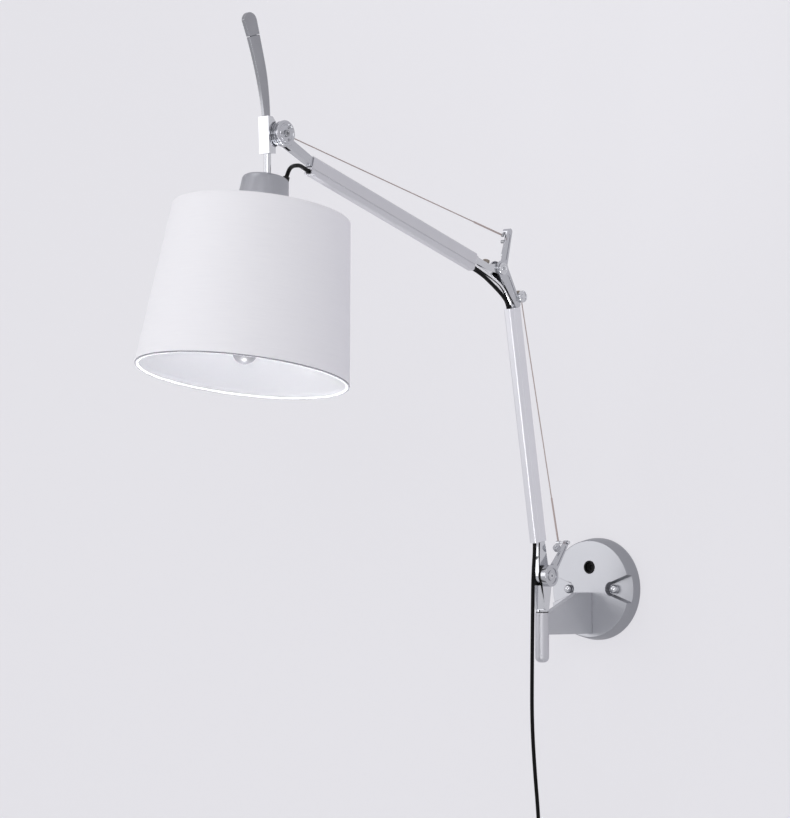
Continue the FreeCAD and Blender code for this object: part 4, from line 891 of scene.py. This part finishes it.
@dataclass
class Wires(SubAssembly):
    """The two balance wires of twisted strands, each with the crimped sleeve that takes its end."""

    wire_r: float = 0.6
    lay_mm: float = 7.0
    steps_per_mm: float = 1.4
    sleeve_edge: float = 0.15

    def build(self) -> None:
        """Makes each wire between the ends of its CAD node, and eases its sleeve."""
        rope = rope_growth()
        for node, body, sleeve_body in (("lower_wire", Body.LOWER_CABLE, Body.LOWER_SLEEVE),
                                        ("upper_wire", Body.UPPER, Body.UPPER_SLEEVE)):
            start, end = self.ends(node)
            long_mm = (end - start).length / MM
            wire = rope.grow(f"{node}_rope", self.bench.materials[Finish.WIRE_ROPE], Start=start, End=end,
                             Radius=self.wire_r * MM, Lay=self.lay_mm * MM, Count=int(long_mm * self.steps_per_mm))
            self.bench.place(wire, body, Slot.WIRE, [node])
            self.bench.eased(f"{node}_end", sleeve_body, Slot.WIRE, Finish.WIRE_ROPE,
                             self.sleeve_edge)

    def ends(self, node: str) -> tuple[Vector, Vector]:
        """Reads the middles of a straight wire's two end faces from its CAD node.

        Args:
            node: The wire's CAD node.

        Returns:
            The front end and the rear end, in metres.
        """
        points = [v.co for v in self.bench.frame["nodes"][node].data.vertices]
        first = min(points, key=lambda p: p.y)
        last = max(points, key=lambda p: p.y)
        along = (last - first).normalized()
        low = min(p.dot(along) for p in points)
        high = max(p.dot(along) for p in points)
        near = [p for p in points if p.dot(along) < low + self.wire_r * MM]
        far = [p for p in points if p.dot(along) > high - self.wire_r * MM]
        return sum(near, Vector()) / len(near), sum(far, Vector()) / len(far)


@dataclass
class HeadJoint(SubAssembly):
    """Casting at the wrist with the handle that turns the shade."""

    parts: Parts = (
        *eased_on(Body.JOINT, Slot.CHROME, Finish.CHROME, head_block=0.5),
        *eased_on(Body.JOINT, Slot.CHROME, Finish.HANDLE_CHROME, handle=0.4, handle_grip=0.4),
    )


@dataclass
class Head(SubAssembly):
    """Rod, cap, lamp holder, bulb and shade. Heights are along the shade's axis."""

    parts: Parts = (
        *eased_on(Body.HEAD, Slot.CHROME, Finish.CHROME, head_rod=0.3),
        *eased_on(Body.HEAD, Slot.SATIN, Finish.SPUN_ALLOY, cap=0.3),
        *eased_on(Body.HEAD, Slot.PLASTIC, Finish.BLACK_ABS, cap_gland=0.2, lamp_holder=0.4, holder_ring=0.5),
        *eased_on(Body.HEAD, Slot.BRASS, Finish.ZINC_SCREW, bulb_base=0.3),
        *eased_on(Body.HEAD, Slot.FRAME, Finish.POWDER_WHITE, shade_spokes=0.0, shade_rings=0.0),
    )
    top_r: float = 84.4             # outside of the cloth at its two edges
    bottom_r: float = 101.2
    top_down: float = 37.0          # how far down those edges are
    bottom_down: float = 194.0
    cloth: float = 0.8              # cloth and film together
    hem_r: float = 1.35             # roll over a ring wire
    hem_tall: float = 7.0
    hem_step: float = 0.5           # what the fold adds to the thickness
    hem_ramp: float = 0.3
    around: int = 160
    wall_rows: int = 24
    roll_steps: int = 6
    bulb_side: tuple[Pair, ...] = ((12.6, -52.2), (13.0, -53.0), (13.0, -58.0), (13.4, -64.0), (14.6, -71.0),
                                   (16.4, -79.0), (17.8, -88.0), (18.8, -98.0), (19.3, -107.0), (19.4, -115.0),
                                   (19.1, -124.0), (18.4, -133.0), (17.4, -142.0), (15.9, -151.5), (13.9, -161.4))
    tip_centre: float = -170.2
    tip_r: float = 12.0
    tip_from: float = 15.0          # degrees over level where the round tip begins
    tip_turn: float = 105.0
    tip_steps: int = 14
    bulb_around: int = 64

    def build(self) -> None:
        """Makes the eased parts, then the shade and the bulb."""
        super().build()
        self.shade()
        self.bulb()

    def section(self) -> list[Pair]:
        """Section of the shade: outer wall, a hem rolled over each ring wire, and the lining.

        Returns:
            (radius, height) pairs, as a closed loop.
        """
        tall = self.bottom_down - self.top_down
        slope = (self.bottom_r - self.top_r) / tall

        def outer(down: float) -> float:
            """Radius of the outer wall, this far below the top edge."""
            return self.top_r + slope * down

        points = []
        for k in range(self.wall_rows + 1):
            down = self.hem_r + (tall - 2 * self.hem_r) * k / self.wall_rows
            points.append((outer(down), -self.top_down - down))
        turns = [math.pi * k / self.roll_steps for k in range(1, self.roll_steps)]
        for a in turns:
            points.append((outer(tall) - self.hem_r + self.hem_r * math.cos(a),
                           -self.bottom_down + self.hem_r - self.hem_r * math.sin(a)))
        lining, thick, short = self.cloth, self.cloth + self.hem_step, self.hem_tall + self.hem_ramp
        inner = [(tall - self.hem_r, 2 * self.hem_r), (tall - self.hem_tall, thick), (tall - short, lining),
                 (short, lining), (self.hem_tall, thick), (self.hem_r, 2 * self.hem_r)]
        for down, deep in inner:
            points.append((outer(down) - deep, -self.top_down - down))
        for a in turns:
            points.append((self.top_r - self.hem_r - self.hem_r * math.cos(a),
                           -self.top_down - self.hem_r + self.hem_r * math.sin(a)))
        return points

    def shade(self) -> None:
        section = self.section()
        mesh = lathe("shade_cloth", section, SHADE_AXIS.matrix(), self.around, closed=True)
        along = [0.0]
        for a, b in zip(section, section[1:] + section[:1]):
            along.append(along[-1] + math.dist(a, b) * MM)
        mean_r = (self.top_r + self.bottom_r) / 2 * MM
        uv = mesh.uv_layers.new(name="cloth")
        for face in mesh.polygons:
            columns = [v % self.around for v in face.vertices]
            wraps = max(columns) - min(columns) > 1
            rows = [v // self.around for v in face.vertices]
            closes = max(rows) - min(rows) > 1
            for corner, column, row in zip(face.loop_indices, columns, rows):
                turn = (column + self.around if wraps and column == 0 else column) / self.around
                step = along[-1] if closes and row == 0 else along[row]
                uv.data[corner].uv = (turn * math.tau * mean_r, step)
        cloth = self.bench.new_piece("shade_cloth", mesh, Finish.SHADE_LINEN)
        mesh.materials.append(self.bench.materials[Finish.HEM_PAINTED_SHADE])
        mesh.materials.append(self.bench.materials[Finish.FILM_LINING_PAINTED_LIGHT])
        inside, top_roll = self.wall_rows + self.roll_steps, len(section) - self.roll_steps
        for face in mesh.polygons:
            row = face.index // self.around
            # The lower roll takes the hem's painted shade; the inside takes the lining's painted light.
            if self.wall_rows <= row < top_roll:
                face.material_index = 1 if row < inside else 2
        self.bench.place(cloth, Body.HEAD, Slot.FABRIC, ["shade"])

    def bulb(self) -> None:
        """Makes the slim bulb: its side, then its round tip."""
        profile = [(0.0, self.bulb_side[0][1]), *self.bulb_side]
        for k in range(1, self.tip_steps + 1):
            a = math.radians(self.tip_from - self.tip_turn * k / self.tip_steps)
            r = self.tip_r * math.cos(a) if k < self.tip_steps else 0.0
            profile.append((r, self.tip_centre + self.tip_r * math.sin(a)))
        mesh = lathe("bulb_body", profile, SHADE_AXIS.matrix(), self.bulb_around)
        body = self.bench.new_piece("bulb_body", mesh, Finish.OPAL_GLASS_PAINTED_SHADE)
        self.bench.place(body, Body.HEAD, Slot.BULB, ["bulb_glass"])


@dataclass
class Cords(SubAssembly):
    """Supply cord with its coil and plug, the cord round the elbow and the loop to the cap."""

    cord_r: float = 2.0
    inside_r: float = 1.9
    cord_at: float = -6.0           # to the rear of the lower arm's axis
    tube_drop: float = 8.4          # how much lower it runs in the upper tube
    bite: float = 5.8               # how deep a cord goes into a tube's mouth
    inner_gap: float = 6.0          # from a mouth to the inner cord's end
    inner_steps: int = 12
    lower_start: float = 35.8       # the cord's mouths, along the two arms
    lower_end: float = 280.3
    upper_start: float = 42.8
    upper_end: float = 305.3
    coil_outer: float = 27.5
    coil_step: float = 5.2
    half_turns_in_layer: int = 4
    layers: int = 4
    points_in_half_turn: int = 8
    coil_start: Point = (0.0, -106.0, -292.0)
    coil_lead: float = 4.0          # straight run into the coil
    plug_tail: float = 26.0
    foot_out: float = 3.0           # straight run out of the lower tube's foot
    lead: tuple[Point, ...] = ((0, -115.4, 14), (0, -116.2, -24))
    hanging: tuple[Point, ...] = ((0, -117.3, -76), (0, -118.0, -134), (0, -113.6, -184), (0, -107.2, -232),
                                  (0, -106.0, -262))
    upper_out: float = 16.0         # straight runs out of the two mouths at the elbow
    lower_out: float = 5.0
    cord_bend: tuple[Point, ...] = ((0, -182.6, 311.8), (0, -165.4, 301.6))
    strap_bend: tuple[Point, ...] = ((0, -183.0, 318.8), (0, -161.4, 306.4))
    strap_half: float = 3.3
    strap_flat: float = 0.55        # thickness over width
    strap_around: int = 20
    strap_over_upper: float = 4.0   # rear of the cord at its two ends
    strap_over_lower: float = 4.4
    strap_gap: float = 0.3
    loop_out: Pair = (9.0, 1.4)     # out of the upper tube's end, and to the side
    loop_middle: Point = (8.6, -499.5, 402.6)
    loop_heading: Point = (0.25, -0.95, -0.19)
    loop_run: float = 10.0          # how far the loop keeps that heading before its middle
    loop_run_on: float = 0.6        # and after it, as a share
    gland: Point = (12.2, -2.2, 14.4)       # rear, along and side, in the shade's frame
    gland_heading: Point = (0.05, 1.0, 0.12)
    gland_out: float = 8.0
    gland_bite: float = 3.4
    parts: Parts = (
        *eased_on(Body.STEM, Slot.PLASTIC, Finish.BLACK_ABS, coil_tie=0.3, mains_plug=0.6),
        *eased_on(Body.STEM, Slot.BRASS, Finish.ZINC_SCREW, plug_pins=0.5),
    )

    def build(self) -> None:
        """Makes the plug's parts, then every cord."""
        super().build()
        self.supply()
        self.elbow()
        self.loop()
        self.inside()

    def declare(self, name: str, points: Sequence[Vector], bodies: tuple[Body, Body], span: tuple[Vector, Vector],
                nodes: Sequence[str], exit_at: Vector, far_end: str, lay: str, with_pieces: Sequence[str] = ()
                ) -> None:
        """Args:
            name: Name of the piece.
            points: Points of its route.
            bodies: The two bodies that the joint joins.
            span: Where the cord leaves the first body and where it joins the second.
            nodes: CAD nodes that it stands for.
            exit_at: Where it leaves the lamp; not used.
            far_end: What it ends in; not used.
            lay: How it lies; not used.
            with_pieces: Names of the pieces on it; not used.
        """
        line = smooth_line(points, CORD_STEPS)
        cord = self.bench.new_piece(name, tube_mesh(name, line, self.cord_r * MM), Finish.CORD_PVC)
        self.bench.stand_for(cord, Slot.CORD, nodes)
        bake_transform(cord, bodies[0].value, bodies[1].value, span[0], span[1])

    def coil_points(self) -> list[Vector]:
        """Works out the coil: half turns that spiral in and out, climbing a layer where they turn back.

        Returns:
            Points of the coil, then of the cord's tail down to the plug, in metres.
        """
        radius, depth, places = self.coil_outer, 0.0, [(self.coil_outer, 0.0)]
        for layer in range(self.layers):
            last = layer == self.layers - 1
            for _ in range(self.half_turns_in_layer + last):
                radius += (1 if layer % 2 else -1) * self.coil_step / 2
                places.append((radius, depth))
            if not last:
                depth += self.coil_step
                places.append((radius, depth))
        centre = Vector(self.coil_start) - Vector((self.coil_outer, 0, 0))
        points, per_half = [], self.points_in_half_turn
        swell = 1 / math.cos(math.pi / per_half / 2) ** 2
        for k in range(1, (len(places) - 1) * per_half):
            at, share = divmod(k, per_half)
            share /= per_half
            ease = share - math.sin(math.tau * share) / math.tau
            (r0, d0), (r1, d1) = places[at], places[min(at + 1, len(places) - 1)]
            r, angle = (r0 + (r1 - r0) * share) * swell, -math.pi * k / per_half
            points.append((centre + Vector((r * math.cos(angle), d0 + (d1 - d0) * ease, r * math.sin(angle)))) * MM)
        end = centre + Vector((-places[-1][0] if (len(places) - 1) % 2 else places[-1][0], places[-1][1], 0))
        return points + [end * MM, (end - Vector((0, 0, self.plug_tail * 0.5))) * MM,
                         (end - Vector((0, 0, self.plug_tail))) * MM]

    def supply(self) -> None:
        """Supply cord: out of the lower tube's foot, down past the view, the coil and the plug."""
        foot = LOWER_ARM.point(self.cord_at, self.lower_start)
        x, y, z = self.coil_start
        route = [LOWER_ARM.point(self.cord_at, self.lower_start + self.bite),
                 LOWER_ARM.point(self.cord_at, self.lower_start - self.foot_out)]
        route += [mm(*p) for p in (*self.lead, *self.hanging, (x, y, z + self.coil_lead))]
        self.declare("supply_cord_whole", route + self.coil_points(), (Body.LOWER, Body.STEM),
                     (foot, mm(*self.lead[-1])), ["supply_lead", "supply_cord", "supply_coil"], foot, "plug",
                     "hanging", ["mains_plug_eased", "plug_pins_eased", "coil_tie_eased"])

    def elbow(self) -> None:
        """Cord round the inside of the elbow, and the polished strap that guides it."""
        y = self.cord_at - self.tube_drop
        top, foot = UPPER_ARM.point(y, self.upper_start), LOWER_ARM.point(self.cord_at, self.lower_end)
        route = [UPPER_ARM.point(y, self.upper_start + self.bite),
                 UPPER_ARM.point(y, self.upper_start - self.upper_out),
                 *(mm(*p) for p in self.cord_bend),
                 LOWER_ARM.point(self.cord_at, self.lower_end + self.lower_out),
                 LOWER_ARM.point(self.cord_at, self.lower_end - self.bite)]
        self.declare("elbow_cord_bend", route, (Body.UPPER, Body.LOWER), (top, foot), ["elbow_cord"], top,
                     "object", "taut")
        band = [UPPER_ARM.point(y + self.strap_over_upper, self.upper_start - self.strap_gap),
                *(mm(*p) for p in self.strap_bend),
                LOWER_ARM.point(self.cord_at + self.strap_over_lower, self.lower_end + self.strap_gap)]
        mesh = tube_mesh("elbow_strap_band", smooth_line(band, STRAP_STEPS), self.strap_half * MM,
                         self.strap_around, self.strap_flat)
        strap = self.bench.new_piece("elbow_strap_band", mesh, Finish.STRAP_STEEL_PAINTED_HIGHLIGHT)
        self.bench.stand_for(strap, Slot.CHROME, ["elbow_strap"])
        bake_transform(strap, Body.UPPER.value, Body.LOWER.value, top, foot)

    def loop(self) -> None:
        """Loop from the upper tube to the cap, in two halves that meet in the air between two joints."""
        y = self.cord_at - self.tube_drop
        mouth, middle = UPPER_ARM.point(y, self.upper_end), mm(*self.loop_middle)
        heading = Vector(self.loop_heading) * self.loop_run * MM
        gland = SHADE_AXIS.point(*self.gland)
        out = (SHADE_AXIS.point(*self.gland_heading) - SHADE_AXIS.point(0, 0)).normalized() * MM
        along, side = self.loop_out
        first = [UPPER_ARM.point(y, self.upper_end - self.bite), UPPER_ARM.point(y, self.upper_end + along, side),
                 middle - heading, middle]
        self.declare("loop_upper_half", first, (Body.UPPER, Body.JOINT), (mouth, middle), ["loop_from_tube"], mouth,
                     "object", "loose")
        last = [middle, middle + heading * self.loop_run_on, gland + out * self.gland_out,
                gland - out * self.gland_bite]
        self.declare("loop_lower_half", last, (Body.JOINT, Body.HEAD), (middle, gland), ["loop_to_cap"], gland,
                     "object", "loose")

    def inside(self) -> None:
        """Straight stretches of cord inside the two tubes."""
        upper_y = self.cord_at - self.tube_drop
        runs = (("lower_inner_cord", Body.LOWER, LOWER_ARM, self.cord_at, self.lower_start, self.lower_end),
                ("upper_inner_cord", Body.UPPER, UPPER_ARM, upper_y, self.upper_start, self.upper_end))
        for node, body, frame, rear, start, end in runs:
            first, last, steps = start + self.inner_gap, end - self.inner_gap, self.inner_steps
            line = [frame.point(rear, first + (last - first) * k / steps) for k in range(steps + 1)]
            cord = self.bench.new_piece(f"{node}_run", tube_mesh(node, line, self.inside_r * MM), Finish.CORD_PVC)
            self.bench.place(cord, body, Slot.CORD, [node])


# ---- studio --------------------------------------------------------------------------------
@dataclass(frozen=True)
class Softbox:
    """A square area light, which throws its light within spread degrees."""

    name: str
    at: Point
    aim: Point
    wide: float
    power: float
    spread: float = 180.0


@dataclass
class Studio:
    """Pale wall and floor, soft lights and the photograph's camera. Sizes are in metres but for wall_gap_mm."""

    wall_colour: int = 0xE6E5EA
    floor_colour: int = 0xE2E2E6
    sky_colour: int = 0xFFFFFF
    even_share: float = 0.8         # how much of a panel's look is even, without shadows
    wall_gap_mm: float = 0.6
    floor_drop: float = 0.9
    reach: float = 6.0
    wall_high: float = 5.0
    azimuth: float = 39.64          # the camera's heading and tilt, in degrees
    pitch: float = 2.9
    focal_pixels: float = 3251.6
    eye: Point = (2.04031, -2.80223, 0.01610)
    sky_left: float = 0.8
    sky_right: float = 0.55
    sky_low: float = 0.95
    sky_high: float = 1.05
    lights: tuple[Softbox, ...] = (
        Softbox("key", (-2.0, -2.7, 0.7), (0.0, -0.3, 0.25), 1.7, 11.0),
        Softbox("top", (-0.8, -1.6, 2.6), (0.0, -0.3, 0.2), 1.2, 6.0),
        Softbox("front", (1.6, -3.0, 0.9), (0.0, -0.3, 0.2), 1.0, 10.0),
        Softbox("low", (0.7, -2.3, -0.85), (0.0, -0.5, 0.35), 1.3, 12.5),
        Softbox("under", (0.0, -0.665, -0.39), (0.0, -0.56, 0.2), 0.3, 2.0, 70.0),
    )

    def build(self) -> None:
        """Makes the stage, the lights and the camera, and sets plain colour handling."""
        self.stage()
        self.sky()
        for light in self.lights:
            self.lamp(light)
        self.camera()
        bpy.context.scene.view_settings.view_transform = "Standard"

    def panel(self, name: str, corners: Sequence[Point], material: bpy.types.Material) -> None:
        """Makes one flat stage panel.

        Args:
            name: Name of the panel.
            corners: Its corners, in metres.
            material: Its paint.
        """
        mesh = bpy.data.meshes.new(name)
        mesh.from_pydata(corners, [], [list(range(len(corners)))])
        mesh.materials.append(material)
        panel = bpy.data.objects.new(name, mesh)
        bpy.context.scene.collection.objects.link(panel)

    def seen(self, nodes: Nodes) -> bpy.types.NodeSocket:
        """Tells looks, reflections and looks through glass from rays that light things.

        Args:
            nodes: Nodes of the material or the world that needs to know.

        Returns:
            1 for a look, 0 for a ray that lights.
        """
        ray = nodes.node("LightPath").outputs
        direct = nodes.maths("MAXIMUM", ray["Is Camera Ray"], ray["Is Glossy Ray"])
        return nodes.maths("MAXIMUM", direct, ray["Is Transmission Ray"])

    def plain(self, name: str, hex_value: int, one_sided: bool) -> bpy.types.Material:
        """Matt paint for a stage panel, evenly pale where it is seen, with part of the shadows kept.

        Args:
            name: The paint's name.
            hex_value: Its colour.
            one_sided: Whether a look from behind goes through.

        Returns:
            The material.
        """
        material = bpy.data.materials.new(name)
        nodes = bare_nodes(material)
        paint = nodes.out("BsdfDiffuse", {"Color": linear(hex_value)})
        even = nodes.out("Emission", {"Color": linear(hex_value), "Strength": 1.0})
        share = nodes.maths("MULTIPLY", self.seen(nodes), self.even_share)
        surface = nodes.out("MixShader", {0: share, 1: paint, 2: even})
        if one_sided:
            behind = nodes.out("NewGeometry", out="Backfacing")
            surface = nodes.out("MixShader", {0: behind, 1: surface, 2: nodes.out("BsdfTransparent")})
        nodes.node("OutputMaterial", {"Surface": surface})
        return material

    def stage(self) -> None:
        """Makes the wall behind the plate and the floor far below it."""
        y, low, far, high = self.wall_gap_mm * MM, -self.floor_drop, self.reach, self.wall_high
        wall = [(-far, y, low), (far, y, low), (far, y, high), (-far, y, high)]
        self.panel("studio_wall", wall, self.plain("matt_wall_paint", self.wall_colour, True))
        floor = [(-far, -far, low), (far, -far, low), (far, far, low), (-far, far, low)]
        self.panel("studio_floor", floor, self.plain("matt_floor_paint", self.floor_colour, False))

    def sky(self) -> None:
        """Pale air: brighter to the left and above, dim to the right and below, even where it is seen."""
        world = bpy.data.worlds.new("studio_air")
        bpy.context.scene.world = world
        nodes = bare_nodes(world)
        heading = nodes.node("SeparateXYZ", {0: nodes.out("TexCoord", out="Generated")}).outputs
        levels = []
        for axis, low, high in (("X", self.sky_left, self.sky_right), ("Z", self.sky_low, self.sky_high)):
            levels.append(nodes.out("MapRange", {"Value": heading[axis], "From Min": -1.0, "From Max": 1.0,
                                                 "To Min": low, "To Max": high}))
        air = nodes.out("Background", {"Color": linear(self.sky_colour),
                                       "Strength": nodes.maths("MULTIPLY", *levels)})
        view = nodes.out("Background", {"Color": linear(self.wall_colour), "Strength": 1.0})
        nodes.node("OutputWorld", {"Surface": nodes.out("MixShader", {0: self.seen(nodes), 1: air, 2: view})})

    def lamp(self, box: Softbox) -> None:
        """Adds one softbox, which the camera doesn't see.

        Args:
            box: The softbox.
        """
        data = bpy.data.lights.new(box.name, "AREA")
        data.shape = "SQUARE"
        data.size = box.wide
        data.energy = box.power
        data.spread = math.radians(box.spread)
        lamp = bpy.data.objects.new(box.name, data)
        lamp.location = box.at
        lamp.visible_camera = False
        lamp.rotation_euler = (Vector(box.aim) - Vector(box.at)).to_track_quat("-Z", "Y").to_euler()
        bpy.context.scene.collection.objects.link(lamp)

    def camera(self) -> None:
        """Puts the camera where the photograph was taken from, level from side to side."""
        data = bpy.data.cameras.new("photo_view")
        data.sensor_fit = "HORIZONTAL"
        data.lens = self.focal_pixels / PHOTO_WIDE * data.sensor_width
        az, up = math.radians(self.azimuth), math.radians(self.pitch)
        forward = Vector((-math.sin(az) * math.cos(up), math.cos(az) * math.cos(up), math.sin(up)))
        right = Vector((math.cos(az), math.sin(az), 0))
        above = right.cross(forward)
        turn = Matrix((right, above, -forward)).transposed().to_4x4()
        camera = bpy.data.objects.new("photo_view", data)
        camera.matrix_world = Matrix.Translation(Vector(self.eye)) @ turn
        bpy.context.scene.collection.objects.link(camera)
        bpy.context.scene.camera = camera


def main() -> None:
    """Builds every sub-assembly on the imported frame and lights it."""
    logging.basicConfig(level=logging.INFO, format="%(name)s: %(message)s")
    bench = Bench()
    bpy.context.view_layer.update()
    Studio().build()
    for assembly in (Cords, WallMount, Stem, Arms, Wires, HeadJoint, Head):
        assembly(bench).build()
    bpy.context.view_layer.update()


if __name__ == "__main__":
    main()
